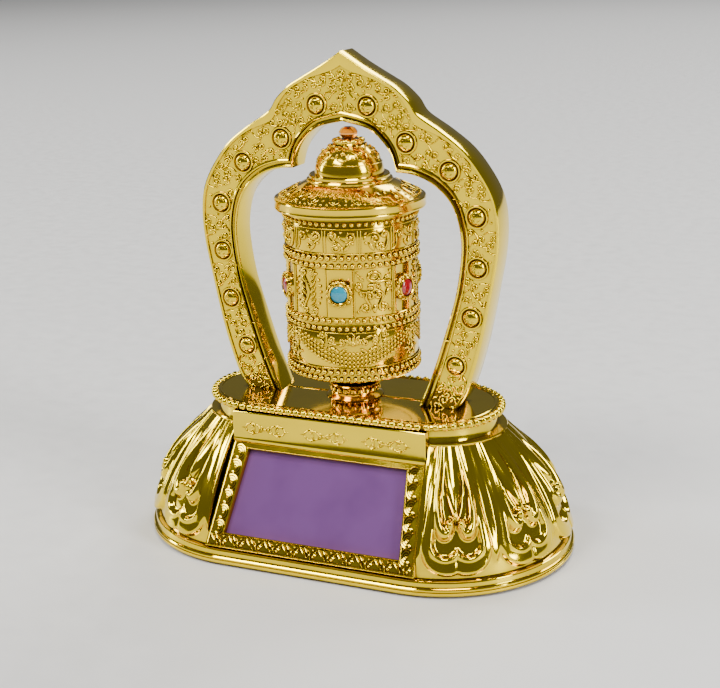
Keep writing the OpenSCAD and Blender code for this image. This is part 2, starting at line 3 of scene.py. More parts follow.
import json
import logging
import math
import random
from dataclasses import dataclass, field
from enum import Enum
from typing import Callable, Iterable, Sequence

import bmesh
import bpy
import numpy as np
from mathutils import Matrix, Vector


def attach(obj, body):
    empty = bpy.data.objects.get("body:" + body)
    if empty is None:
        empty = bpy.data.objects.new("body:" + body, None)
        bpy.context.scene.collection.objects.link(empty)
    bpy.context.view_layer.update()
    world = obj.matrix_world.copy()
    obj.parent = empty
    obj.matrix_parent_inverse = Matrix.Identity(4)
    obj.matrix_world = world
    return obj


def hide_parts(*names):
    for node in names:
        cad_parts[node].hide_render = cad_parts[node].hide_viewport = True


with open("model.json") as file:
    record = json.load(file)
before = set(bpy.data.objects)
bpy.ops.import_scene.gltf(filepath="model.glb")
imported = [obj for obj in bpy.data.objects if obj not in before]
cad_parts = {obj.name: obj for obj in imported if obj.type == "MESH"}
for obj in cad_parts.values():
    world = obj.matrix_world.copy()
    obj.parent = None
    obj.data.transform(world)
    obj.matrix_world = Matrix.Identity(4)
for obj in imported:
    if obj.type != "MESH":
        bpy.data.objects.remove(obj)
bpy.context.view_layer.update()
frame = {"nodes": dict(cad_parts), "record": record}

LOG = logging.getLogger("prayer_wheel")
MM = 0.001
UP = Vector((0, 0, 1))

Flat = tuple[float, float]
Place = Callable[[float, float, float], Vector]


# ---------------------------------------------------------------- finishes


def to_linear(hex_colour: str) -> tuple[float, float, float, float]:
    """Turn an sRGB hex colour such as "#D9A92B" into linear RGBA."""
    parts = [int(hex_colour[i : i + 2], 16) / 255 for i in (1, 3, 5)]
    line = [p / 12.92 if p <= 0.04045 else ((p + 0.055) / 1.055) ** 2.4 for p in parts]
    return (line[0], line[1], line[2], 1.0)


def add_node(
    tree: bpy.types.NodeTree, kind: str, settings: dict | None = None, links: dict | None = None
) -> bpy.types.Node:
    """Add a shader node with its settings and its incoming links.

    Args:
        tree: The node tree that gets the node.
        kind: The node's type, such as "ShaderNodeBump".
        settings: Input values by socket name, and attributes by name.
        links: Source sockets by input name.

    Returns:
        The new node.
    """
    node = tree.nodes.new(kind)
    for name, value in (settings or {}).items():
        if name in node.inputs:
            node.inputs[name].default_value = value
        else:
            setattr(node, name, value)
    for name, source in (links or {}).items():
        tree.links.new(source, node.inputs[name])
    return node


def new_material(name: str) -> tuple[bpy.types.Material, bpy.types.NodeTree, bpy.types.Node]:
    """Make a material with an empty tree but its output, and return it, the tree and the output."""
    material = bpy.data.materials.new(name)
    material.use_nodes = True
    tree = material.node_tree
    tree.nodes.clear()
    return material, tree, tree.nodes.new("ShaderNodeOutputMaterial")


@dataclass(frozen=True)
class Finish:
    """One surface finish.

    Attributes:
        name: What the surface is.
        colour: Base colour of open surfaces, sRGB hex.
        shade: Colour of the soft patches and of the painted shade in crevices, sRGB hex.
        metallic: 1 for metal and plating.
        roughness: Middle roughness.
        wave_mm: Size of the broad unevenness, 0 for none.
        wave_depth_mm: Height of the broad unevenness.
        grain_mm: Size of the fine texture, 0 for none.
        grain_depth_mm: Height of the fine texture.
        patches: How much of the shade colour shows in soft patches.
        painted_hollow_shade: How strongly crevices take the shade colour, as painted shade.
        coat: Weight of the clear lacquer.
        see_through: How much light passes through.
        glow: How much light spreads under the surface.
    """

    name: str
    colour: str
    shade: str
    metallic: float = 0.0
    roughness: float = 0.35
    wave_mm: float = 0.0
    wave_depth_mm: float = 0.0
    grain_mm: float = 0.0
    grain_depth_mm: float = 0.0
    patches: float = 0.15
    painted_hollow_shade: float = 0.0
    coat: float = 0.0
    see_through: float = 0.0
    glow: float = 0.0

    def _noise(
        self, tree: bpy.types.NodeTree, point: bpy.types.NodeSocket, size_mm: float, detail: float,
    ) -> bpy.types.Node:
        """Add a noise texture whose features are about size_mm wide."""
        settings = {"Scale": 1 / (size_mm * MM), "Detail": detail, "Roughness": 0.5}
        return add_node(tree, "ShaderNodeTexNoise", settings, {"Vector": point})

    def _colour(self, tree: bpy.types.NodeTree, point: bpy.types.NodeSocket) -> bpy.types.NodeSocket:
        """Mix the base colour with the shade colour in soft patches, and paint shade into crevices with
        ambient occlusion.
        """
        noise = self._noise(tree, point, 9.0, 2.0)
        spread = add_node(
            tree, "ShaderNodeMapRange", {"From Min": 0.42, "From Max": 0.75, "To Max": self.patches},
            {"Value": noise.outputs["Fac"]},
        )
        patched = add_node(
            tree, "ShaderNodeMix",
            {"data_type": "RGBA"},
        )
        for socket, value in ((6, self.colour), (7, self.shade)):
            patched.inputs[socket].default_value = to_linear(value)
        tree.links.new(spread.outputs["Result"], patched.inputs["Factor"])
        if not self.painted_hollow_shade:
            return patched.outputs[2]
        # Painted shade: ambient occlusion pulls the colour toward the shade colour in crevices.
        painted_shade_ao = add_node(tree, "ShaderNodeAmbientOcclusion", {"samples": 6, "Distance": 1.4 * MM})
        depth = add_node(
            tree, "ShaderNodeMapRange",
            {"From Min": 0.88, "From Max": 0.3, "To Min": 0.0, "To Max": self.painted_hollow_shade},
            {"Value": painted_shade_ao.outputs["AO"]},
        )
        painted_shade_mix = add_node(tree, "ShaderNodeMix", {"data_type": "RGBA"})
        painted_shade_mix.inputs[7].default_value = to_linear(self.shade)
        tree.links.new(patched.outputs[2], painted_shade_mix.inputs[6])
        tree.links.new(depth.outputs["Result"], painted_shade_mix.inputs["Factor"])
        return painted_shade_mix.outputs[2]

    def _bump(self, tree: bpy.types.NodeTree, point: bpy.types.NodeSocket) -> bpy.types.NodeSocket | None:
        """Stack the broad and the fine unevenness, and return the normal or None."""
        normal = None
        layers = ((self.wave_mm, self.wave_depth_mm, 1.0), (self.grain_mm, self.grain_depth_mm, 2.0))
        for size_mm, depth_mm, detail in layers:
            if not size_mm:
                continue
            noise = self._noise(tree, point, size_mm, detail)
            links = {"Height": noise.outputs["Fac"]}
            if normal is not None:
                links["Normal"] = normal
            bump = add_node(tree, "ShaderNodeBump", {"Strength": 1.0, "Distance": depth_mm * MM}, links)
            normal = bump.outputs["Normal"]
        return normal

    def material(self) -> bpy.types.Material:
        """Return this finish's material, made once."""
        found = bpy.data.materials.get(self.name)
        if found:
            return found
        made, tree, output = new_material(self.name)
        point = add_node(tree, "ShaderNodeTexCoord").outputs["Object"]
        shine = self._noise(tree, point, 6.0, 3.0)
        rough = add_node(
            tree, "ShaderNodeMapRange",
            {
                "From Min": 0.3, "From Max": 0.7, "To Min": self.roughness * 0.75,
                "To Max": self.roughness * 1.3,
            },
            {"Value": shine.outputs["Fac"]},
        )
        links = {"Base Color": self._colour(tree, point), "Roughness": rough.outputs["Result"]}
        normal = self._bump(tree, point)
        if normal is not None:
            links["Normal"] = normal
        settings = {"Metallic": self.metallic, "IOR": 1.5, "Coat Weight": self.coat, "Coat Roughness": 0.04}
        if self.see_through:
            settings["Transmission Weight"] = self.see_through
        if self.glow:
            settings |= {"Subsurface Weight": self.glow, "Subsurface Scale": 0.8 * MM}
        shader = add_node(tree, "ShaderNodeBsdfPrincipled", settings, links)
        tree.links.new(shader.outputs["BSDF"], output.inputs["Surface"])
        made.diffuse_color = to_linear(self.colour)
        return made


# Mirror gold vacuum-plated over moulded plastic, slightly uneven, with painted shade in its crevices.
PLATED_GOLD = Finish(
    "mirror_gold_plating", "#F4D41A", "#80640C", 1.0, 0.09, wave_mm=11, wave_depth_mm=0.05,
    grain_mm=0.9, grain_depth_mm=0.002, patches=0.1, painted_hollow_shade=1.0,
)
# The drum's plating, a little warmer and with softer gloss over its dense relief, with painted shade in its
# crevices.
DRUM_GOLD = Finish(
    "warm_gold_plating", "#F5D024", "#6E4E08", 1.0, 0.12, wave_mm=7, wave_depth_mm=0.03,
    grain_mm=0.8, grain_depth_mm=0.003, patches=0.1, painted_hollow_shade=1.0,
)
# Deeper orange gold of the pedestal collar, with painted shade in its crevices.
DEEP_GOLD = Finish(
    "deep_gold_plating", "#F4CE28", "#7A5408", 1.0, 0.11, wave_mm=6, wave_depth_mm=0.03,
    grain_mm=0.8, grain_depth_mm=0.004, patches=0.12, painted_hollow_shade=1.0,
)
# Orange lacquer over gold, for the jewel on top.
AMBER = Finish("amber_lacquer", "#EE9A2C", "#B65A10", 0.85, 0.1, patches=0.4, coat=1.0)
# Opaque blue-green resin cabochon with darker clouds.
TURQUOISE = Finish("turquoise_cabochon", "#1C9DB8", "#0C6A84", 0.0, 0.12, patches=0.7, coat=0.6, glow=0.1)
# Clear red resin cabochon.
RUBY = Finish("ruby_cabochon", "#A80420", "#5C0014", 0.0, 0.08, patches=0.6, coat=1.0, see_through=0.15)
# Mirror-smooth violet cover of the solar panel.
VIOLET = Finish("violet_panel_cover", "#7E5292", "#6E4480", 0.35, 0.07, patches=0.6, coat=1.0)
# Dark silicon wafer.
WAFER = Finish("silicon_wafer", "#1F1A3A", "#141028", 0.2, 0.3, patches=0.5)
# Fine-textured black moulding.
BLACK_PLASTIC = Finish("black_moulding", "#161618", "#0D0D0E", 0.0, 0.5, grain_mm=0.3, grain_depth_mm=0.01)
# Matt black rubber.
RUBBER = Finish("black_rubber", "#121212", "#1C1C1C", 0.0, 0.75, grain_mm=0.4, grain_depth_mm=0.01)
# Bright zinc-plated steel.
STEEL = Finish("bright_zinc_steel", "#C9CBCF", "#9A9CA2", 1.0, 0.25, grain_mm=0.5, grain_depth_mm=0.002)
# Drawn and plated motor can.
MOTOR_STEEL = Finish("drawn_can_steel", "#BFC1C4", "#94969A", 1.0, 0.3, grain_mm=0.7, grain_depth_mm=0.003)
# Turned brass.
BRASS = Finish("turned_brass", "#C9A24C", "#93702A", 1.0, 0.22, grain_mm=0.5, grain_depth_mm=0.002)
# Moulded white acetal.
ACETAL = Finish("white_acetal", "#E9E6DC", "#D8D4C6", 0.0, 0.38, grain_mm=0.6, grain_depth_mm=0.004, glow=0.1)
# Green solder mask.
SOLDER_MASK = Finish("green_solder_mask", "#175A33", "#0F4427", 0.0, 0.3, patches=0.4, coat=0.4)
# Blue shrink sleeve.
BLUE_SLEEVE = Finish("blue_sleeve", "#1E2B5E", "#151E44", 0.0, 0.28, patches=0.3)
# Black epoxy moulding.
EPOXY = Finish("black_epoxy", "#141414", "#202020", 0.0, 0.4, grain_mm=0.3, grain_depth_mm=0.004)
# Soft red wire sheath.
SHEATH = Finish("red_wire_sheath", "#8A1A1C", "#6B1214", 0.0, 0.45, grain_mm=0.5, grain_depth_mm=0.003)
# Thin rolled paper.
PAPER = Finish(
    "rolled_paper", "#E0CFA2", "#C9B583", 0.0, 0.85, grain_mm=0.4, grain_depth_mm=0.02, patches=0.5,
)
# Pale plain floor.
FLOOR = Finish("pale_floor", "#E3E2E0", "#DEDDDB", 0.0, 0.5, patches=0.2)

SLOT_FINISHES = {
    "plated_gold": PLATED_GOLD, "plated_deep_gold": DEEP_GOLD, "finial_amber": AMBER,
    "panel_cover": VIOLET, "panel_cell": WAFER, "turquoise_resin": TURQUOISE, "ruby_resin": RUBY,
    "black_plastic": BLACK_PLASTIC, "black_rubber": RUBBER, "steel": STEEL,
    "motor_steel": MOTOR_STEEL, "bush_brass": BRASS, "gear_white": ACETAL,
    "board_green": SOLDER_MASK, "capacitor_blue": BLUE_SLEEVE, "diode_black": EPOXY,
    "lead_sheath": SHEATH, "roll_paper": PAPER,
}


# ---------------------------------------------------------------- shapes, in millimetres


def spline(points: Sequence[Flat], steps: int) -> list[Flat]:
    """Return a smooth Catmull-Rom line through points, with steps parts per stretch."""
    last = len(points) - 1
    line = []
    for i in range(last):
        a, b = Vector(points[max(i - 1, 0)]), Vector(points[i])
        c, d = Vector(points[i + 1]), Vector(points[min(i + 2, last)])
        for j in range(steps):
            t = j / steps
            at = 2 * b + (c - a) * t + (2 * a - 5 * b + 4 * c - d) * t**2
            at += (3 * b - a - 3 * c + d) * t**3
            line.append((at.x / 2, at.y / 2))
    return line + [tuple(points[last])]


def evenly(line: Sequence[Flat], count: int) -> list[Vector]:
    """Return count points at equal distances along a line."""
    points = np.array(line, float)
    run = np.concatenate([[0], np.cumsum(np.hypot(*np.diff(points, axis=0).T))])
    at = np.linspace(0, run[-1], count)
    return [Vector(p) for p in zip(np.interp(at, run, points[:, 0]), np.interp(at, run, points[:, 1]))]


def length_of(line: Sequence[Flat]) -> float:
    """Return a flat line's length."""
    return sum(math.dist(a, b) for a, b in zip(line, line[1:]))


def lofted(rows: int, columns: int, place: Callable[[int, int], Vector]) -> bmesh.types.BMesh:
    """Bend a grid so that its point in a row and column lands at place(row, column).

    Args:
        rows: Number of rows of points.
        columns: Number of points in a row.
        place: Where each point goes, in millimetres.

    Returns:
        The mesh, with equal points merged and what stays open filled.
    """
    bm = bmesh.new()
    bmesh.ops.create_grid(bm, x_segments=columns - 1, y_segments=rows - 1, size=1)
    for i, vert in enumerate(bm.verts):
        vert.co = place(i // columns, i % columns)
    bmesh.ops.remove_doubles(bm, verts=bm.verts, dist=1e-4)
    open_edges = [e for e in bm.edges if e.is_boundary]
    bmesh.ops.holes_fill(bm, edges=open_edges, sides=0)
    return bm


def profile_line(bm: bmesh.types.BMesh, points: Sequence[Vector], closed: bool = False) -> list:
    """Add a line of edges through points and return its vertices and edges."""
    verts = [bm.verts.new(p) for p in points]
    pairs = list(zip(verts, verts[1:])) + ([(verts[-1], verts[0])] if closed else [])
    return verts + [bm.edges.new(pair) for pair in pairs]


def spun(profile: Sequence[Flat], steps: int = 96, closed: bool = False) -> bmesh.types.BMesh:
    """Spin a profile of (radius, height) points round the Z axis."""
    bm = bmesh.new()
    geom = profile_line(bm, [Vector((r, 0, z)) for r, z in profile], closed)
    bmesh.ops.spin(
        bm, geom=geom, cent=(0, 0, 0), axis=UP, angle=math.tau, steps=steps, use_merge=True
    )
    bmesh.ops.remove_doubles(bm, verts=bm.verts, dist=1e-4)
    return bm


def stadium_sweep(section: Sequence[Flat], straight: float, steps: int = 64) -> bmesh.types.BMesh:
    """Run a closed section of (radius, height) points round a stadium outline.

    Args:
        section: Corners of the section, in order.
        straight: Half the length of the straight sides.
        steps: Steps round each half-circle end.

    Returns:
        The closed ring.
    """
    bm = bmesh.new()
    geom = profile_line(bm, [Vector((straight, -r, z)) for r, z in section], closed=True)
    for side in (1, -1):
        turned = bmesh.ops.spin(
            bm, geom=geom, cent=(side * straight, 0, 0), axis=UP, angle=math.pi, steps=steps
        )["geom_last"]
        edges = [e for e in turned if isinstance(e, bmesh.types.BMEdge)]
        drawn = bmesh.ops.extrude_edge_only(bm, edges=edges)["geom"]
        verts = [v for v in drawn if isinstance(v, bmesh.types.BMVert)]
        bmesh.ops.translate(bm, vec=(-2 * side * straight, 0, 0), verts=verts)
        geom = verts + [e for e in drawn if isinstance(e, bmesh.types.BMEdge)]
        geom = [g for g in geom if isinstance(g, bmesh.types.BMVert) or set(g.verts) <= set(verts)]
    bmesh.ops.remove_doubles(bm, verts=bm.verts, dist=1e-4)
    return bm


def stadium_point(run: float, straight: float, radius: float) -> tuple[Vector, float]:
    """Return the point and facing angle at a distance along a stadium from its middle front."""
    half_turn = math.pi * radius
    run %= 4 * straight + 2 * half_turn
    corners = [straight, straight + half_turn, 3 * straight + half_turn, 3 * straight + 2 * half_turn]
    if run < corners[0]:
        return Vector((run, -radius, 0)), -math.pi / 2
    if run < corners[1]:
        angle = -math.pi / 2 + (run - corners[0]) / radius
        return Vector((straight + radius * math.cos(angle), radius * math.sin(angle), 0)), angle
    if run < corners[2]:
        return Vector((straight - (run - corners[1]), radius, 0)), math.pi / 2
    if run < corners[3]:
        angle = math.pi / 2 + (run - corners[2]) / radius
        return Vector((-straight + radius * math.cos(angle), radius * math.sin(angle), 0)), angle
    return Vector((-straight + (run - corners[3]), -radius, 0)), -math.pi / 2


def stamp(bm: bmesh.types.BMesh, shape: bpy.types.Mesh, places: Iterable[Matrix]) -> None:
    """Add a copy of shape at each of places."""
    for place in places:
        copy = shape.copy()
        copy.transform(place)
        bm.from_mesh(copy)
        bpy.data.meshes.remove(copy)


def soften(height: np.ndarray, passes: int) -> np.ndarray:
    """Blur a height map a little, its edges kept."""
    for _ in range(passes):
        wide = np.pad(height, 1, mode="edge")
        across = (wide[:, :-2] + 2 * wide[:, 1:-1] + wide[:, 2:]) / 4
        height = (across[:-2] + 2 * across[1:-1] + across[2:]) / 4
    return height


def as_mesh(bm: bmesh.types.BMesh, name: str) -> bpy.types.Mesh:
    """Turn a working mesh into stored mesh data."""
    mesh = bpy.data.meshes.new(name)
    bm.to_mesh(mesh)
    bm.free()
    return mesh


def ball_mesh(segments: int, rings: int) -> bpy.types.Mesh:
    """Return a ball of unit radius."""
    bm = bmesh.new()
    bmesh.ops.create_uvsphere(bm, u_segments=segments, v_segments=rings, radius=1)
    return as_mesh(bm, "ball")


def coil(centre: Flat, radius: float, start: float, turns: float, way: int) -> list[Flat]:
    """Return a line that winds inwards.

    Args:
        centre: Middle of the coil.
        radius: Its radius where it starts.
        start: Angle where it starts, in degrees.
        turns: Number of turns.
        way: 1 for anticlockwise, -1 for clockwise.

    Returns:
        Points from the outside to the eye.
    """
    count = max(6, round(turns * 13))
    line = []
    for i in range(count + 1):
        t = i / count
        angle = math.radians(start + way * 360 * turns * t)
        at = radius * (1 - 0.78 * t**1.1)
        line.append((centre[0] + at * math.cos(angle), centre[1] + at * math.sin(angle)))
    return line


class Curl(Enum):
    """Scroll shapes: C and S have a coil at both ends, HOOK and TENDRIL one coil and a tail."""

    C = "c"
    S = "s"
    HOOK = "hook"
    TENDRIL = "tendril"

    @property
    def tight(self) -> tuple[bool, bool]:
        """Say which of the two ends is a coil's eye."""
        return True, self in (Curl.C, Curl.S)

    def line(self) -> list[Flat]:
        """Return the scroll's points, with its coils at x = 0.5 and, if it has two, x = -0.5."""
        if self in (Curl.C, Curl.S):
            start = coil((0.5, 0), 0.36, 90, 1.1, -1)[::-1]
            if self is Curl.C:
                return start + [(0.22, 0.41), (0, 0.43), (-0.22, 0.41)] + coil((-0.5, 0), 0.36, 90, 1.1, 1)
            return start + [(0.2, 0.25), (0, 0), (-0.2, -0.25)] + coil((-0.5, 0), 0.36, 270, 1.1, -1)
        start = coil((0.3, 0), 0.45, 90, 1.15, -1)[::-1]
        if self is Curl.HOOK:
            return start + [(0.0, 0.42), (-0.3, 0.24), (-0.52, -0.08), (-0.6, -0.4)]
        return start + [(0.0, 0.47), (-0.3, 0.56), (-0.55, 0.8), (-0.66, 1.1)]


@dataclass
class Relief:
    """Raised lines, beads and leaves on one surface, gathered and then built as one mesh.

    Attributes:
        place: Maps (along, up, out) on the surface to a point, in millimetres.
        lines: Lines as points, radius at the start and radius at the end.
        beads: Beads as (along, up, radius, height share).
        leaves: Leaves as (along, up, length, width, height, turn).
        lift: How far out of the surface the middles of lines and beads lie.
        bead_rings: Segments and rings of a bead.
    """

    place: Place
    lines: list[tuple[Sequence[Flat], float, float]] = field(default_factory=list)
    beads: list[tuple[float, float, float, float]] = field(default_factory=list)
    leaves: list[tuple[float, float, float, float, float, float]] = field(default_factory=list)
    lift: float = 0.05
    bead_rings: tuple[int, int] = (8, 5)

    def line(self, points: Sequence[Flat], radius: float, tip: float | None = None) -> None:
        """Add a raised line that tapers from radius to tip."""
        self.lines.append((points, radius, radius if tip is None else tip))

    def bead(self, along: float, up: float, radius: float, height: float = 1.0) -> None:
        """Add a bead; height is its height as a share of its radius."""
        self.beads.append((along, up, radius, height))

    def leaf(self, along: float, up: float, size: Flat, turn: float, height: float = 0.45) -> None:
        """Add a pointed leaf of size (length, width) turned by turn degrees."""
        self.leaves.append((along, up, size[0], size[1], height, math.radians(turn)))

    def scroll(
        self, curl: Curl, centre: Flat, span: float, turn: float, radius: float,
        mirror: float = 1.0, eyes: bool = True,
    ) -> None:
        """Add a scroll line.

        Args:
            curl: Its shape.
            centre: Its middle.
            span: Its size: the distance between two coils.
            turn: Turn of the whole scroll, in degrees.
            radius: Line radius.
            mirror: -1 to flip it about its own direction.
            eyes: Whether its tight ends carry beads.
        """
        c, s = math.cos(math.radians(turn)), math.sin(math.radians(turn))
        line = [
            (centre[0] + span * (x * c - y * mirror * s), centre[1] + span * (x * s + y * mirror * c))
            for x, y in curl.line()
        ]
        self.line(line, radius, radius if curl.tight[1] else radius * 0.5)
        if eyes:
            for tight, at in zip(curl.tight, (line[0], line[-1])):
                if tight:
                    self.bead(*at, radius * 1.45, 1.15)

    def ring(self, centre: Flat, size: Flat, radius: float, span: Flat = (0, 360)) -> None:
        """Add a raised oval of half widths size, or a part of one between two angles."""
        count = max(7, int(abs(span[1] - span[0]) / 22))
        angles = [math.radians(span[0] + (span[1] - span[0]) * i / count) for i in range(count + 1)]
        self.line(
            [(centre[0] + size[0] * math.cos(a), centre[1] + size[1] * math.sin(a)) for a in angles],
            radius,
        )

    def _axes(self, along: float, up: float, out: float) -> Matrix:
        """Return the surface's own axes at a point."""
        at = self.place(along, up, out)
        normal = (self.place(along, up, out + 1) - at).normalized()
        across = self.place(along + 0.05, up, out) - at
        across = (across - normal * across.dot(normal)).normalized()
        other = normal.cross(across)
        rows = [(across[i], other[i], normal[i], at[i]) for i in range(3)]
        return Matrix(rows + [(0, 0, 0, 1)])

    def build(self) -> bmesh.types.BMesh:
        """Return everything gathered as one working mesh."""
        curve = bpy.data.curves.new("relief", "CURVE")
        curve.dimensions = "3D"
        curve.bevel_depth, curve.bevel_resolution, curve.use_fill_caps = 1.0, 1, True
        for points, radius, tip in self.lines:
            part = curve.splines.new("POLY")
            part.points.add(len(points) - 1)
            for i, (spot, (along, up)) in enumerate(zip(part.points, points)):
                spot.co = (*self.place(along, up, self.lift), 1)
                spot.radius = radius + (tip - radius) * i / max(len(points) - 1, 1)
        holder = bpy.data.objects.new("relief", curve)
        mesh = bpy.data.meshes.new_from_object(holder)
        bm = bmesh.new()
        bm.from_mesh(mesh)
        bpy.data.objects.remove(holder)
        bpy.data.curves.remove(curve)
        bpy.data.meshes.remove(mesh)
        if self.beads:
            ball = ball_mesh(*self.bead_rings)
            stamp(bm, ball, [
                self._axes(along, up, self.lift) @ Matrix.Diagonal((radius, radius, radius * height, 1))
                for along, up, radius, height in self.beads
            ])
            bpy.data.meshes.remove(ball)
        self._add_leaves(bm)
        return bm

    def _add_leaves(self, bm: bmesh.types.BMesh) -> None:
        """Stamp the gathered leaves, each a ball drawn out to two points with a mid rib."""
        if not self.leaves:
            return
        leaf = bmesh.new()
        bmesh.ops.create_uvsphere(
            leaf, u_segments=12, v_segments=6, radius=1, matrix=Matrix.Rotation(math.pi / 2, 4, "Y"),
        )
        for vert in leaf.verts:
            x, y = vert.co.x, vert.co.y
            vert.co.y = y * (1 - 0.55 * abs(x) ** 1.5)
            vert.co.z *= 1 - 0.35 * (1 - min(1, abs(y) * 2.2)) * (1 - x * x)
        shape = as_mesh(leaf, "leaf")
        stamp(bm, shape, [
            self._axes(along, up, self.lift) @ Matrix.Rotation(turn, 4, "Z")
            @ Matrix.Diagonal((length / 2, width / 2, height, 1))
            for along, up, length, width, height, turn in self.leaves
        ])
        bpy.data.meshes.remove(shape)


def add_piece(
    name: str, bm: bmesh.types.BMesh, finish: Finish, body: str,
    replaced: Sequence[str] = (), crisp: float = 38.0,
) -> bpy.types.Object:
    """Turn a working mesh in millimetres into a finished piece that rides on a body.

    Args:
        name: Piece name.
        bm: The working mesh, freed here.
        finish: Its finish.
        body: CAD body it moves with.
        replaced: CAD nodes it stands for.
        crisp: Edges sharper than this many degrees stay sharp.

    Returns:
        The new object.
    """
    bmesh.ops.remove_doubles(bm, verts=bm.verts, dist=1e-4)
    bmesh.ops.recalc_face_normals(bm, faces=bm.faces)
    bmesh.ops.scale(bm, vec=(MM, MM, MM), verts=bm.verts)
    mesh = as_mesh(bm, name)
    mesh.shade_smooth()
    mesh.set_sharp_from_angle(angle=math.radians(crisp))
    mesh.materials.append(finish.material())
    piece = bpy.data.objects.new(name, mesh)
    bpy.context.scene.collection.objects.link(piece)
    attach(piece, body)
    if replaced:
        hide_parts(*replaced)
    LOG.info("%s: %d faces on %s", name, len(mesh.polygons), body)
    return piece


# ---------------------------------------------------------------- sub-assemblies


@dataclass
class LotusBase:
    """Oval foot with its plinth, twelve double-lobed lotus petals and neck."""

    straight: float = 22.685
    plinth_r: float = 32.0
    neck_straight: float = 20.2
    neck_r: float = 15.6
    dome_foot: float = 4.0
    dome_top: float = 31.0
    path_r: float = 30.5
    first: float = 26.8
    pitch: float = 19.07
    step: float = 0.19
    depth: float = 3.0

    def radius(self, z: np.ndarray | float) -> np.ndarray | float:
        """Return the petals' outer radius at height z."""
        rise = np.clip((z - self.dome_foot) / (self.dome_top - self.dome_foot), 0, 1)
        return self.neck_r + (self.plinth_r - 0.8 - self.neck_r) * (1 - rise**1.8)

    @staticmethod
    def _stroke(s: np.ndarray, z: np.ndarray, path: Sequence[Flat], halves: Sequence[float]) -> np.ndarray:
        """Return a rounded ridge of unit height along a path, with a half width at each of its points."""
        ridge = np.zeros(s.shape)
        line = spline(path, 4)
        wide = np.interp(np.linspace(0, 1, len(line)), np.linspace(0, 1, len(halves)), halves)
        for k, ((s0, z0), (s1, z1)) in enumerate(zip(line, line[1:])):
            ds, dz = s1 - s0, z1 - z0
            t = np.clip(((s - s0) * ds + (z - z0) * dz) / (ds * ds + dz * dz), 0, 1)
            near = np.hypot(s - s0 - t * ds, z - z0 - t * dz) / (wide[k] + (wide[k + 1] - wide[k]) * t)
            ridge = np.maximum(ridge, np.clip(1 - near**2, 0, 1))
        return ridge

    def relief(self, s: np.ndarray, z: np.ndarray) -> np.ndarray:
        """Return the petal's height above the ground at (s, z), measured from its middle line.

        Args:
            s: Distance from the petal's middle line.
            z: Height.

        Returns:
            Height above the ground surface, in millimetres.
        """
        side = np.abs(s)
        up = np.clip((z - 11.6) / (self.dome_top - 11.6), 0, 1)
        lobe = 6.4 - np.hypot(side - 2.4, z - 11.6)
        outer = np.where(z < 11.6, lobe, 8.8 - 2.3 * up - side)
        well = 3.2 - np.hypot(side - 2.7, z - 12.6)
        inner = np.where(z < 12.6, well, 5.9 - 1.0 * up - side)

        def ease(x: np.ndarray) -> np.ndarray:
            """Return a smooth step from 0 to 1 as x goes from 0 to 1."""
            x = np.clip(x, 0, 1)
            return x * x * (3 - 2 * x)

        gap = self.pitch / 2 - side
        calm = 1 - 0.5 * ease((z - 23) / 8)
        flutes = 0.16 * np.cos(math.tau * gap / 2.5) * ease((z - 12) / 5) * calm
        behind = ease((0.5 * (z - 7.0) - gap) / 0.6) * (0.6 + flutes)
        border = 1.2 * ease(outer / 0.5) + 0.2 * ease(outer / 3)
        border += 0.26 * np.exp(-(((inner + 0.45) / 0.34) ** 2)) * ease(outer / 0.5)
        border -= 0.4 * np.exp(-((s / 0.26) ** 2)) * ease((10.5 - z) / 0.8) * ease(outer / 0.5)
        border += 0.7 * ease((9.5 - z) / 4.5) * ease(outer / 0.5)
        height = border - 1.1 * ease(inner / 0.5)
        height = np.maximum(height, behind)
        t = np.clip((z - 16.8) / 14.2, 0, 1)
        drop = 3.4 * np.clip(t / 0.5, 0, 1) ** 0.7 - 0.9 * np.clip(t - 0.5, 0, 1)
        bulge = np.clip(1 - (s / np.maximum(drop, 1e-3)) ** 2, 0, 1)
        height = np.maximum(
            height, np.where((t > 0) & (bulge > 0), 0.1 + 2.0 * calm * bulge * ease(t / 0.2) ** 0.5, 0),
        )
        arm = [
            (3.5, 31.2), (4.2, 27), (4.75, 22.5), (4.7, 18.8), (4.15, 16.0), (3.25, 14.7), (2.3, 14.5),
            (1.55, 15.3),
        ]
        ridge = self._stroke(side, z, arm, (0.75, 0.95, 1.15, 1.4, 1.7, 1.7, 1.3, 0.9))
        height = np.maximum(height, np.where(ridge > 0, 0.1 + 2.3 * calm * ridge**0.8, 0))
        for bead_s, bead_z, bead_r in ((1.4, 16.3, 1.25), (0, 17.8, 0.85)):
            ball = np.sqrt(np.clip(1 - ((side - bead_s) ** 2 + (z - bead_z) ** 2) / bead_r**2, 0, 1))
            height = np.maximum(height, np.where(ball > 0, 0.5 + 1.85 * bead_r * ball, 0))
        fade = 1 - 0.6 * ease((z - 18) / 12)
        return soften(1 + (height - 1) * fade, 3)

    def point(self, run: float, z: float, out: float) -> Vector:
        """Return the point at a distance along the outline, a height, and a distance off the ground."""
        slope = (self.radius(z + 0.05) - self.radius(max(z - 0.05, self.dome_foot))) / 0.1
        tilt = math.hypot(1, slope)
        radius = self.radius(z) + (out - 1.2) / tilt
        height = z - (out - 1.2) * slope / tilt
        angle_run = run - self.straight
        if angle_run < math.pi * self.path_r:
            angle = -math.pi / 2 + angle_run / self.path_r
            return Vector((self.straight + radius * math.cos(angle), radius * math.sin(angle), height))
        return Vector((self.straight - (angle_run - math.pi * self.path_r), radius, height))

    def petal(self, number: int, mirrored: bool) -> bmesh.types.BMesh:
        """Build one petal with its ground, closed behind."""
        half = self.pitch / 2
        columns = 2 * int(half / self.step) + 1
        rows = int((self.dome_top - self.dome_foot) / self.step) + 1
        s = np.linspace(-half, half, columns)
        z = np.linspace(self.dome_foot, self.dome_top, rows)
        grid_s, grid_z = np.meshgrid(s, z)
        height = self.relief(grid_s, grid_z)
        middle = self.first + self.pitch * (number + 0.5)
        side = -1 if mirrored else 1

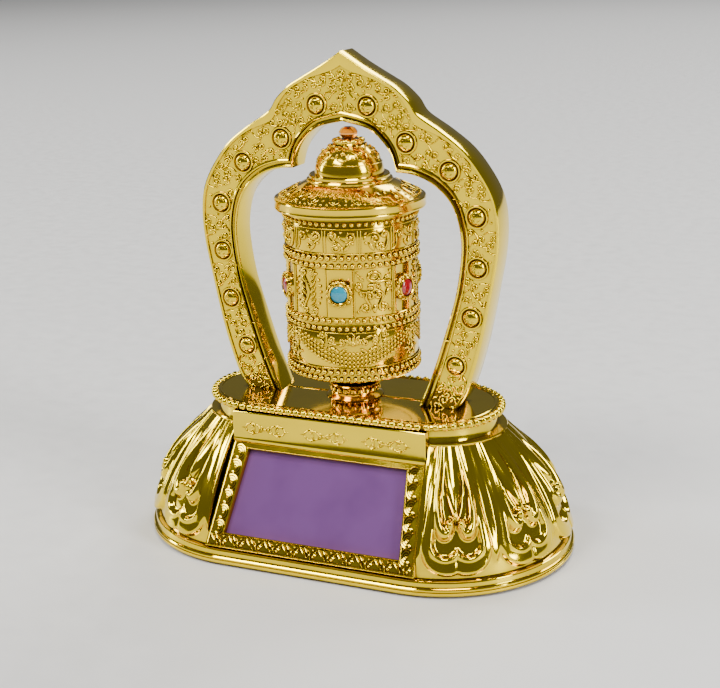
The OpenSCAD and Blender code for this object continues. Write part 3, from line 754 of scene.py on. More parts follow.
        def place(row: int, column: int) -> Vector:
            """Return a grid point, with the outermost rows and columns sunk behind the petal."""
            i, j = min(max(row - 1, 0), rows - 1), min(max(column - 1, 0), columns - 1)
            edge = i != row - 1 or j != column - 1
            at = self.point(middle + s[j], z[i], -self.depth if edge else height[i, j])
            at.z = min(max(at.z, self.dome_foot - 0.05), self.dome_top)
            return Vector((side * at.x, at.y, at.z))

        return lofted(rows + 2, columns + 2, place)

    def build(self) -> None:
        """Build the plinth, petals and neck, which stand for the base shell."""
        plinth = [
            (30.05, 0.6), (31.5, 0.6), (31.85, 0.75), (32, 1.1), (31.95, 1.5), (31.7, 1.62), (31.7, 1.78),
            (31.95, 1.9), (31.95, 2.15), (31.75, 2.4), (31.35, 2.48), (31.25, 2.7), (31.25, 3.5),
            (31.1, 3.85), (30.8, 4.0), (27.0, 4.0), (27.0, 2.5), (30.05, 2.5),
        ]
        bm = stadium_sweep(plinth, self.straight, 72)
        add_piece("base_plinth", bm, PLATED_GOLD, "base", ["base_shell"], 30)
        for number in range(6):
            for mirrored in (False, True):
                side = "left" if mirrored else "right"
                bm = self.petal(number, mirrored)
                add_piece(
                    f"lotus_petal_{side}_{number + 1}", bm, PLATED_GOLD, "base",
                    crisp=85,
                )
        shoulder = [(15.65, 30.6), (15.7, 31.0), (15.5, 31.25), (12.0, 31.25), (12.0, 29.5), (15.0, 29.5)]
        add_piece(
            "base_shoulder", stadium_sweep(shoulder, self.straight), PLATED_GOLD, "base",
        )
        neck = [(15.6, 34.45), (15.6, 31.5), (15.8, 31.2), (15.8, 31.0), (14.0, 31.0), (14.0, 34.45)]
        add_piece(
            "base_neck", stadium_sweep(neck, self.neck_straight), PLATED_GOLD, "base",
        )


@dataclass
class FrontFace:
    """Sloping window frame with its relief, and the plain band above it."""

    foot_y: float = -31.526
    foot_z: float = 4.8
    tilt: float = math.radians(58.5)
    length: float = 26.272
    foot_half: float = 26.8
    top_half: float = 24.8
    rail: float = 4.3
    foot_rail: float = 3.7
    top_rail: float = 1.9
    band_y: float = -17.8
    band: Flat = (27.2, 34.45)

    def on_face(self, x: float, up: float, out: float) -> Vector:
        """Return the point at x, a distance up the slope, and a distance out of it."""
        c, s = math.cos(self.tilt), math.sin(self.tilt)
        return Vector((x, self.foot_y + up * c - out * s, self.foot_z + up * s + out * c))

    def on_band(self, x: float, z: float, out: float) -> Vector:
        """Return the point on the upright band."""
        return Vector((x, self.band_y - out, z))

    def _frame(self) -> bmesh.types.BMesh:
        """Build the frame by running its section round the four corners."""
        outer = [
            (-self.foot_half, 0), (self.foot_half, 0), (self.top_half, self.length),
            (-self.top_half, self.length),
        ]
        low, high = self.foot_rail, self.length - self.top_rail
        window = [
            (-self.foot_half + self.rail, low), (self.foot_half - self.rail, low),
            (self.top_half - self.rail, high), (-self.top_half + self.rail, high),
        ]
        section = [
            (0, -3.4), (0, -0.45), (0.015, -0.15), (0.05, 0), (0.12, 0), (0.15, -0.12), (0.18, -0.42),
            (0.86, -0.42),
            (0.89, -0.1), (0.92, 0.02), (0.97, 0.02), (1.0, -0.15), (1.0, -3.4), (0, -3.4),
        ]

        def place(row: int, column: int) -> Vector:
            """Return a point of the section at one of the four corners."""
            share, out = section[column]
            a, b = Vector(outer[row % 4]), Vector(window[row % 4])
            at = a.lerp(b, share)
            return self.on_face(at.x, at.y, out)

        return lofted(5, len(section), place)

    def _band(self) -> bmesh.types.BMesh:
        """Build the upright band as one bevelled block with a rounded lip at its foot."""
        low, high = self.band
        section = [
            (-15.7, high), (-17.6, high), (-17.8, high - 0.2), (-17.8, low + 0.9), (-17.95, low + 0.55),
            (-18.05, low + 0.1),
            (-18.0, low - 0.35), (-17.7, low - 0.7), (-15.7, low - 0.7), (-15.7, high),
        ]
        spots = [-self.top_half - 0.05, -self.top_half + 0.15, self.top_half - 0.15, self.top_half + 0.05]

        def place(row: int, column: int) -> Vector:
            """Return a point of the block, drawn in at both ends."""
            y, z = section[column]
            inset = 0.15 if row in (0, 3) else 0
            return Vector((spots[row], min(y + inset, -15.7), z))

        return lofted(4, len(section), place)

    def _rails(self) -> Relief:
        """Gather the scrolls of the side rails and the leaves of the foot rail."""
        relief = Relief(self.on_face, lift=-0.2)
        for side in (-1, 1):
            for i in range(6):
                up = 4.9 + i * 3.75
                lean = (self.foot_half - self.top_half) * up / self.length
                x = side * (self.foot_half - self.rail * 0.5 - lean)
                for k, size in enumerate((0.5, 1.0, 1.5)):
                    span = (-75, 125) if side < 0 else (55, 255)
                    relief.ring((x - side * 0.2, up - 0.3), (size, size * 1.25), 0.24 - 0.02 * k, span)
                relief.bead(x - side * 0.2, up - 0.4, 0.3)
                relief.scroll(Curl.HOOK, (x + side * 0.7, up - 1.9), 1.1, 90 + 60 * side, 0.16, mirror=side)
        for i in range(11):
            x = -24.6 + i * 4.7
            relief.leaf(x, 1.9, (3.2, 0.95), -48, 0.5)
            relief.leaf(x + 0.9, 2.2, (2.6, 0.7), -52, 0.4)
            relief.leaf(x + 1.7, 1.35, (1.5, 0.5), -75, 0.3)
            relief.bead(x + 2.5, 1.15, 0.32)
            relief.bead(x + 2.3, 2.75, 0.26)
            relief.scroll(Curl.HOOK, (x + 2.5, 1.95), 1.5, 20, 0.17)
        return relief

    def _tokens(self) -> Relief:
        """Gather the three thin double-ended ornaments of the band."""
        relief = Relief(self.on_band, lift=0.0)
        for centre in (-16.2, -0.6, 15.0):
            z = 30.6
            for side in (-1, 1):
                x = centre + side * 3.3
                relief.ring((x, z), (1.9, 1.25), 0.17)
                relief.scroll(Curl.C, (x, z), 1.3, 90, 0.13, mirror=side, eyes=False)
                relief.line([(x + side * 1.9, z), (x + side * 2.9, z)], 0.2, 0.08)
                for lift in (-1, 1):
                    relief.line(
                        [
                            (x - side * 1.5, z + lift * 0.8), (centre + side * 1.1, z + lift * 0.75),
                            (centre + side * 0.5, z + lift * 0.3),
                        ],
                        0.14, 0.1,
                    )
                    relief.ring((x + side * 0.2, z + lift * 1.25), (0.5, 0.3), 0.11)
                relief.bead(centre + side * 0.95, z, 0.3)
            relief.bead(centre, z, 0.42)
        return relief

    def build(self) -> None:
        """Build the frame and band, which stand for the CAD frame, with their relief."""
        add_piece(
            "window_frame", self._frame(), PLATED_GOLD, "base", ["front_window_frame"], 35,
        )
        add_piece("front_band", self._band(), PLATED_GOLD, "base")
        add_piece(
            "window_frame_relief", self._rails().build(), PLATED_GOLD, "base", crisp=60,
        )
        add_piece(
            "front_band_ornaments", self._tokens().build(), PLATED_GOLD, "base",
            crisp=60,
        )


@dataclass
class Deck:
    """Bead edge of the deck and the fine seam that crosses it."""

    straight: float = 20.2
    radius: float = 16.55
    top: float = 36.0
    count: int = 90
    bead_r: float = 1.02

    def build(self) -> None:
        """Build the row of beads and the seam."""
        places = []
        round_length = 4 * self.straight + math.tau * self.radius
        for i in range(self.count):
            at, angle = stadium_point(round_length * i / self.count, self.straight, self.radius)
            at.z = self.top - 0.62
            size = Matrix.Diagonal((self.bead_r * 1.05, self.bead_r * 0.96, self.bead_r, 1))
            places.append(Matrix.Translation(at) @ Matrix.Rotation(angle, 4, "Z") @ size)
        bm = bmesh.new()
        stamp(bm, ball_mesh(12, 7), places)
        add_piece("deck_beads", bm, PLATED_GOLD, "base", crisp=70)
        rim = [
            (15.35, self.top - 0.05), (15.35, self.top + 0.12), (15.15, self.top + 0.2),
            (14.95, self.top + 0.12), (14.95, self.top - 0.05),
        ]
        add_piece(
            "deck_edge_line", stadium_sweep(rim, self.straight), PLATED_GOLD, "base",
        )
        bm = bmesh.new()
        for side in (-1, 1):
            place = Matrix.Translation((side * 12.6, 0, self.top)) @ Matrix.Diagonal((11.6, 0.34, 0.36, 1))
            bmesh.ops.create_cube(bm, size=1, matrix=place)
        bmesh.ops.bevel(
            bm, geom=bm.edges[:], offset=0.1, affect="EDGES", segments=2, profile=0.5, material=-1,
        )
        add_piece("deck_seam", bm, PLATED_GOLD, "base")


@dataclass
class Arch:
    """Cusped arch of two mirrored shells, covered with scrollwork and ringed studs."""

    field_out: float = 3.55
    moulding: float = 2.4
    outer_leg: tuple[Flat, ...] = (
        (27.6, 36), (30.4, 41), (33.6, 52), (36.2, 65), (37.7, 74), (37.9, 81), (36.9, 86.6),
        (34.2, 91.8), (29.9, 97.2), (24.4, 101.4), (18.8, 105),
    )
    outer_tip: tuple[Flat, ...] = ((18.8, 105), (16.6, 108.1), (13.4, 111), (10, 113), (4.5, 116.1), (0, 119))
    inner_leg: tuple[Flat, ...] = (
        (18.2, 36), (21.5, 44.4), (24.9, 55), (27.4, 64), (28.7, 73), (28.5, 78.5), (27.2, 83.4),
        (24.8, 87), (21, 89.9), (16.8, 91.4), (13.2, 91.7),
    )
    inner_tip: tuple[Flat, ...] = ((13.2, 91.7), (12.2, 95.2), (10.1, 98.4), (6.4, 101.4), (0, 103))
    studs: tuple[Flat, ...] = (
        (6.4, 106.7), (15.7, 98.7), (26.1, 92.6), (32.6, 82.4), (32.8, 70.6), (31.2, 58.7), (27.4, 46.8),
    )
    leg_steps: int = 84
    tip_steps: int = 30

    def _lines(self) -> tuple[list[Vector], list[Vector]]:
        """Return matching points of the right half's outer and inner lines, from foot to top."""
        made = []
        for leg, tip in ((self.outer_leg, self.outer_tip), (self.inner_leg, self.inner_tip)):
            parts = [spline(leg, 6), spline(tip, 6)]
            if leg is self.outer_leg:
                whole, join = spline(leg + tip[1:], 6), 6 * (len(leg) - 1)
                parts = [whole[:join + 1], whole[join:]]
            made.append(evenly(parts[0], self.leg_steps)[:-1] + evenly(parts[1], self.tip_steps))
        return made[0], made[1]

    @staticmethod
    def _border(at: Vector) -> float:
        """Return the plain border's width beside an outer point, wider at the top and shoulder."""
        top = 2.3 * math.exp(-((at.x / 6) ** 2)) if at.y > 100 else 0
        shoulder = 1.3 * math.exp(-(((at - Vector((18.8, 105))).length / 5) ** 2))
        return 1.0 + top + shoulder

    def _shell(self, facing: float) -> bmesh.types.BMesh:
        """Loft the shell's section along the whole arch; facing is -1 in front and 1 behind."""
        outer, inner = self._lines()
        outer = outer + [Vector((-p.x, p.y)) for p in reversed(outer[:-1])]
        inner = inner + [Vector((-p.x, p.y)) for p in reversed(inner[:-1])]
        from_outer = [(0, 0), (0, 3.5), (0.1, 3.82), (0.35, 4.0), (-0.3, 4.0), (-0.12, 3.93), (0.0, 3.55)]
        from_inner = [
            (2.4, 3.55), (2.3, 3.92), (2.05, 4.05), (1.8, 3.92), (1.62, 3.2), (1.1, 3.1), (0.88, 3.7),
            (0.5, 3.95), (0.18, 3.75), (0, 3.3), (0, 0),
        ]
        section = [(0, d, w) for d, w in from_outer] + [(1, d, w) for d, w in from_inner] + [(0, 0, 0)]

        def place(row: int, column: int) -> Vector:
            """Return a point of the section at a station of the arch."""
            side, distance, out = section[column]
            a, b = outer[row], inner[row]
            way = (b - a).normalized()
            if side:
                at = b - way * distance
            else:
                wide = self._border(Vector((abs(a.x), a.y)))
                at = a + way * (distance + (wide if 4 <= column <= 6 else 0))
            return Vector((at.x, facing * out, at.y))

        return lofted(len(outer), len(section), place)

    def _scrollwork(self, facing: float) -> Relief:
        """Gather rows of curls that run along the sunk field between the studs."""
        outer, inner = self._lines()
        relief = Relief(lambda x, z, out: Vector((x, facing * (self.field_out + out), z)), lift=0.1)
        draw = random.Random(11)
        middle = [(a + b) / 2 for a, b in zip(outer, inner)]
        run = length_of([tuple(p) for p in middle])
        stations = int(run / 2.7)
        for i in range(stations):
            at = (i + 0.5) / stations * (len(outer) - 1)
            k = min(int(at), len(outer) - 2)
            a = outer[k].lerp(outer[k + 1], at - k)
            b = inner[k].lerp(inner[k + 1], at - k)
            way = (b - a).normalized()
            wide = (b - a).length - self._border(a) - self.moulding
            rows = max(2, round(wide / 2.5))
            heading = math.degrees(math.atan2(way.x, -way.y))
            for row in range(rows):
                across = self._border(a) + wide * (row + 0.5) / rows
                spot = a + way * across
                scale = draw.uniform(0.88, 1.1)
                turn = heading + draw.uniform(-28, 28) + (180 if (i + row) % 2 else 0)
                clear = min((spot - Vector(s)).length for s in self.studs)
                if clear < 3.75:
                    if clear > 3.05:
                        for side in (-1, 1):
                            relief.bead(side * spot.x, spot.y, 0.34)
                    continue
                kind = draw.choice((Curl.HOOK, Curl.HOOK, Curl.TENDRIL, Curl.C))
                if spot.x < 0.9:
                    continue
                flip = 1 if row < rows / 2 else -1
                span = {Curl.HOOK: 2.5, Curl.TENDRIL: 2.3, Curl.C: 2.1}[kind] * scale
                for side in (-1, 1):
                    angle = turn if side > 0 else 180 - turn
                    relief.scroll(kind, (side * spot.x, spot.y), span, angle, 0.25, mirror=flip * side)
                away = math.radians(turn + 90 * flip)
                dot = spot + Vector((math.cos(away), math.sin(away))) * 1.15
                if min((dot - Vector(s)).length for s in self.studs) > 3.2 and draw.random() < 0.6:
                    for side in (-1, 1):
                        relief.bead(side * dot.x, dot.y, draw.uniform(0.2, 0.3))
        for step in range(5):
            relief.leaf(0, 106.2 + step * 1.95, (1.9, 1.0), 90, 0.4)
        return relief

    def _stud_mesh(self) -> bpy.types.Mesh:
        """Build one ringed stud with a small spiral on its dome, its foot at the origin."""
        ring = [(2.75, -0.1), (2.75, 0.22), (2.6, 0.45), (2.35, 0.45), (2.15, 0.2), (2.0, 0.0), (1.93, 0.3)]
        dome = [
            (
                1.93 * math.cos(a), 0.15 + 1.2 * math.sin(a),
            ) for a in [math.radians(15 * i) for i in range(1, 7)]
        ]
        bm = spun(ring + dome, 28)
        place = lambda x, y, out: Vector(
            (x, y, 0.12 + 1.2 * math.sqrt(max(0.05, 1 - (x * x + y * y) / 3.72)) + out)
        )
        relief = Relief(place, lift=0.0)
        relief.scroll(Curl.HOOK, (-0.1, 0.35), 1.25, 200, 0.17, eyes=False)
        relief.ring((0.1, 0.3), (1.15, 1.0), 0.14, (20, 250))
        relief.leaf(-0.55, -0.75, (1.1, 0.35), -20, 0.16)
        relief.leaf(0.6, -0.7, (1.0, 0.35), 35, 0.16)
        spiral = as_mesh(relief.build(), "spiral")
        bm.from_mesh(spiral)
        bpy.data.meshes.remove(spiral)
        return as_mesh(bm, "stud")

    def build(self) -> None:
        """Build both shells, their scrollwork and studs."""
        stud = self._stud_mesh()
        for word, facing in (("front", -1.0), ("back", 1.0)):
            add_piece(
                f"arch_{word}", self._shell(facing), PLATED_GOLD, "base", [f"arch_{word}_shell"],
                32,
            )
            add_piece(
                f"arch_{word}_scrollwork", self._scrollwork(facing).build(), PLATED_GOLD, "base",
                crisp=60,
            )
            bm = bmesh.new()
            tip = Matrix.Rotation(math.pi / 2 * -facing, 4, "X")
            spots = [(side * x, z) for side in (-1, 1) for x, z in self.studs]
            stamp(bm, stud, [Matrix.Translation((x, facing * self.field_out, z)) @ tip for x, z in spots])
            add_piece(f"arch_{word}_studs", bm, PLATED_GOLD, "base", crisp=45)


@dataclass
class Drum:
    """Turning drum with its bead rows, relief bands, pilasters and gem settings."""

    radius: float = 15.6
    foot: float = 43.6
    top: float = 82.8
    rows: tuple[float, ...] = (81.3, 73.4, 71.6, 58.6, 56.8, 46.1, 44.5)
    beads_per_row: int = 60
    gem_z: float = 65.3
    gem_turn: float = -77.5
    gems: int = 6
    swag_turn: float = -67.0

    def wall(self, base: float) -> Place:
        """Return the mapping of (along, up, out) onto an upright cylinder."""

        def place(along: float, up: float, out: float) -> Vector:
            """Map a distance round, a height and a distance out to a point."""
            angle = along / base
            return Vector(((base + out) * math.cos(angle), (base + out) * math.sin(angle), up))

        return place

    def _along(self, degrees: float) -> float:
        """Return the distance round the drum at an angle."""
        return math.radians(degrees) * self.radius

    def _body(self) -> bmesh.types.BMesh:
        """Spin the drum's plain wall."""
        r = self.radius
        return spun([
            (14.0, self.foot), (r - 0.25, self.foot), (r, self.foot + 0.25), (r, 47.0), (r + 0.12, 47.2),
            (r + 0.12, 55.8), (r, 56.0),
            (r, 59.3), (r - 0.25, 59.5), (r - 0.25, 70.8), (r, 71.0), (r, 74.1), (r + 0.12, 74.3),
            (r + 0.12, 80.4), (r, 80.6),
            (r, self.top), (14.0, self.top),
        ], 144, closed=True)

    def _bead_rows(self) -> Relief:
        """Gather the bead rows and the fine lines beside them."""
        relief = Relief(self.wall(self.radius), lift=0.12)
        step = math.tau * self.radius / self.beads_per_row
        for k, z in enumerate(self.rows):
            size = 0.6 if k == 0 else 0.68
            for i in range(self.beads_per_row):
                relief.bead((i + 0.5 * (k % 2)) * step, z, size)
        return relief

    def _top_band(self) -> Relief:
        """Gather twelve panels of buds and scrolls between upright bars."""
        relief = Relief(self.wall(self.radius), lift=0.2)
        draw = random.Random(5)
        panels = 12
        wide = math.tau * self.radius / panels
        z = 77.35
        for i in range(panels):
            x = (i + 0.5) * wide
            for side in (-0.5, 0.5):
                relief.line([(x + side * (wide - 0.7), z - 2.6), (x + side * (wide - 0.7), z + 2.6)], 0.16)
            flip = draw.choice((-1, 1))
            kind = (Curl.S, Curl.C, Curl.TENDRIL)[i % 3]
            relief.scroll(kind, (x - 1.6 * flip, z), 2.7, 90 + 14 * flip, 0.4, mirror=flip)
            relief.scroll(Curl.HOOK, (x + 1.2 * flip, z + 0.9), 2.7, 20 * flip, 0.36, mirror=-flip)
            relief.leaf(x + 1.3 * flip, z - 1.2, (2.6, 1.1), 58 * flip, 0.5)
            relief.leaf(x + 0.1, z - 1.5, (2.0, 0.9), 118, 0.45)
            relief.bead(x + 2.7 * flip, z + 1.8, 0.42)
            relief.bead(x + 2.6 * flip, z - 0.4, 0.36)
            relief.bead(x - 0.1 * flip, z + 2.2, 0.34)
        for z_line in (74.45, 80.25):
            relief.line([(self._along(a), z_line) for a in range(0, 361, 5)], 0.15)
        return relief

    def _knot(self, relief: Relief, x: float) -> None:
        """Gather a looped knot with curled arms and feet round a middle bead."""
        z = self.gem_z
        relief.ring((x, z + 3.6), (1.5, 1.15), 0.34)
        relief.ring((x, z + 3.6), (0.7, 0.5), 0.2)
        for side in (-1, 1):
            relief.scroll(Curl.C, (x + side * 2.2, z + 1.3), 2.7, 8 * side, 0.36, mirror=side)
            relief.scroll(Curl.S, (x + side * 1.6, z - 2.2), 2.9, 90 + 22 * side, 0.36, mirror=-side)
            relief.leaf(x + side * 3.3, z - 0.2, (2.2, 0.9), 64 * side, 0.5)
            relief.leaf(x + side * 2.9, z - 3.4, (2.0, 0.9), -40 * side, 0.5)
            relief.leaf(x + side * 3.2, z + 3.4, (2.2, 0.8), 40 * side, 0.45)
            relief.bead(x + side * 3.9, z - 4.6, 0.4)
            relief.bead(x + side * 4.0, z + 4.7, 0.36)
        for k in range(3):
            relief.bead(x, z + 1.7 - 1.25 * k, 0.52 - 0.06 * k)
        relief.leaf(x, z - 4.0, (2.2, 1.2), 90, 0.5)

    def _spray(self, relief: Relief, x: float) -> None:
        """Gather a curved stem with leaves inside and a fringe of beads outside."""
        z = self.gem_z
        stem = [
            (x - 1.6 + 3.0 * math.sin(t) ** 2 * 0.6, z - 4.6 + 9.2 * i / 12) for i,
            t in enumerate([math.pi * j / 12 for j in range(13)])
        ]
        relief.line(stem, 0.34, 0.2)
        for i in range(7):
            at = z - 4.2 + i * 1.4
            relief.leaf(x - 1.9 + 0.25 * (i % 2), at, (2.5, 0.95), 128, 0.5)
            relief.leaf(x + 1.2, at + 0.2, (2.4, 0.95), 48, 0.5)
            relief.bead(x + 3.4 - 0.14 * (i - 3) ** 2, at, 0.42)
            relief.bead(x - 3.9 + 0.1 * (i - 3) ** 2, at, 0.36)
        relief.scroll(Curl.C, (x - 0.2, z + 4.3), 2.2, 0, 0.3)
        relief.scroll(Curl.C, (x + 0.2, z - 4.9), 2.4, 180, 0.3)

    def _middle_band(self) -> Relief:
        """Gather what stands between the gems: knots and leaf sprays in turn, in framed panels."""
        relief = Relief(self.wall(self.radius - 0.25), lift=0.1)
        for k in range(self.gems):
            x = math.radians(self.gem_turn + (k + 0.5) * 360 / self.gems) * (self.radius - 0.25)
            (self._knot if k % 2 == 0 else self._spray)(relief, x)
            for side in (-1, 1):
                relief.line([(x + side * 4.75, 59.6), (x + side * 4.75, 70.7)], 0.17)
        return relief

    def _pilasters(self) -> bmesh.types.BMesh:
        """Build the flat upright strips behind the gems."""
        place_on = self.wall(self.radius - 0.25)
        section = [
            (-3.05, -0.3), (-3.05, 0.25), (-2.9, 0.42), (-2.45, 0.42), (-2.3, 0.28), (2.3, 0.28),
            (2.45, 0.42), (2.9, 0.42), (3.05, 0.25), (3.05, -0.3),
        ]
        bm = bmesh.new()
        for k in range(self.gems):
            x = math.radians(self.gem_turn + k * 360 / self.gems) * (self.radius - 0.25)
            strip = lofted(
                2, len(section), lambda row,
                column: place_on(x + section[column][0], 59.5 + 11.3 * row, section[column][1]),
            )
            mesh = as_mesh(strip, "strip")
            bm.from_mesh(mesh)
            bpy.data.meshes.remove(mesh)
        return bm

    def _lower_band(self) -> Relief:
        """Gather hanging swags of beads with a lotus flower and scrolls over each."""
        relief = Relief(self.wall(self.radius), lift=0.2)
        period = 120.0
        low, high = 47.6, 55.4
        for swag in range(3):
            centre = self.swag_turn + swag * period
            for row in range(4):
                for i in range(35):
                    share = (i - 17) / 17.5
                    z = low + 0.15 + row * 1.0 + 6.9 * abs(share) ** 1.75
                    if z < high:
                        relief.bead(self._along(centre + share * period / 2), z, 0.43)
            x, z = self._along(centre), 53.4
            for turn, size in ((90, 2.9), (58, 2.6), (122, 2.6), (28, 2.3), (152, 2.3), (2, 1.9), (178, 1.9)):
                angle = math.radians(turn)
                relief.leaf(
                    x + math.cos(angle) * size * 0.55, z + math.sin(angle) * size * 0.38, (size, 1.05),
                    turn, 0.62,
                )
            relief.bead(x, z - 0.1, 0.72, 0.9)
            for side in (-1, 1):
                relief.scroll(Curl.C, (x + side * 3.9, z + 0.5), 2.3, 14 * side, 0.3, mirror=side)
                relief.scroll(Curl.S, (x + side * 6.3, z + 0.9), 2.4, 36 * side, 0.28, mirror=side)
                relief.leaf(x + side * 4.6, z - 1.4, (2.3, 0.9), 24 * side, 0.5)
                relief.leaf(x + side * 2.4, z - 1.9, (2.1, 0.85), -30 * side, 0.5)
                relief.leaf(x + side * 7.4, z + 0.2, (1.9, 0.8), 50 * side, 0.45)
                relief.bead(x + side * 5.6, z - 0.6, 0.4)
                relief.bead(x + side * 8.3, z + 1.4, 0.4)
            edge = self._along(centre + period / 2)
            relief.ring((edge, 50.2), (1.5, 1.5), 0.3)
            relief.bead(edge, 50.2, 0.75, 0.9)
            for turn in range(0, 360, 60):
                angle = math.radians(turn)
                relief.leaf(edge + 2.3 * math.cos(angle), 50.2 + 2.0 * math.sin(angle), (1.5, 0.8), turn, 0.4)
            relief.scroll(Curl.C, (edge, 53.6), 2.6, 0, 0.3)
        for z_line in (47.25, 55.8):
            relief.line([(self._along(a), z_line) for a in range(0, 361, 5)], 0.15)
        return relief

    def _settings(self) -> bmesh.types.BMesh:
        """Build the beaded bezels that hold the gems."""
        cup = spun(
            [
                (0, 0.2), (2.05, 0.2), (2.05, 1.5), (2.25, 1.62), (2.45, 1.45), (2.5, 1.0), (2.9, 0.85),
                (3.0, 0.6), (3.0, -0.6), (0, -0.6),
            ],
            32, closed=False,
        )
        for i in range(14):
            angle = math.tau * i / 14
            at = Matrix.Translation((2.78 * math.cos(angle), 2.78 * math.sin(angle), 0.98))
            bmesh.ops.create_uvsphere(cup, u_segments=8, v_segments=5, radius=0.5, matrix=at)
        shape = as_mesh(cup, "bezel")
        bm = bmesh.new()
        stamp(bm, shape, [self._gem_place(k, self.radius - 0.15) for k in range(self.gems)])
        return bm

    def _gem_place(self, number: int, out: float) -> Matrix:
        """Return the axes of a gem, with Z pointing out of the drum."""
        angle = math.radians(self.gem_turn + number * 360 / self.gems)
        turn = Matrix.Rotation(angle, 4, "Z") @ Matrix.Rotation(math.pi / 2, 4, "Y")
        return Matrix.Translation((out * math.cos(angle), out * math.sin(angle), self.gem_z)) @ turn

    def _gems(self, first: int) -> bmesh.types.BMesh:
        """Build every second gem as a domed cabochon."""
        dome = [(2.02, 0.3)] + [
            (
                2.02 * math.cos(a), 1.05 + 0.85 * math.sin(a),
            ) for a in [math.radians(9 * i) for i in range(11)]
        ]
        shape = as_mesh(spun([(0, 0.3)] + dome, 40), "gem")
        bm = bmesh.new()
        stamp(bm, shape, [self._gem_place(k, self.radius - 0.15) for k in range(first, self.gems, 2)])
        bpy.data.meshes.remove(shape)
        return bm

    def build(self) -> None:
        """Build the drum's wall, relief and gems."""
        add_piece("drum_wall", self._body(), DRUM_GOLD, "drum", ["drum_shell"])
        reliefs = (
            ("drum_bead_rows", self._bead_rows()), ("drum_top_band", self._top_band()),
            ("drum_middle_band", self._middle_band()), ("drum_lower_band", self._lower_band()),
        )
        for name, relief in reliefs:
            add_piece(name, relief.build(), DRUM_GOLD, "drum", crisp=65)
        add_piece("drum_pilasters", self._pilasters(), DRUM_GOLD, "drum")
        add_piece("drum_gem_settings", self._settings(), DRUM_GOLD, "drum", crisp=50)
        add_piece(
            "turquoise_cabochons", self._gems(0), TURQUOISE, "drum", ["turquoise_gems"],
        )
        add_piece("ruby_cabochons", self._gems(1), RUBY, "drum", ["ruby_gems"])


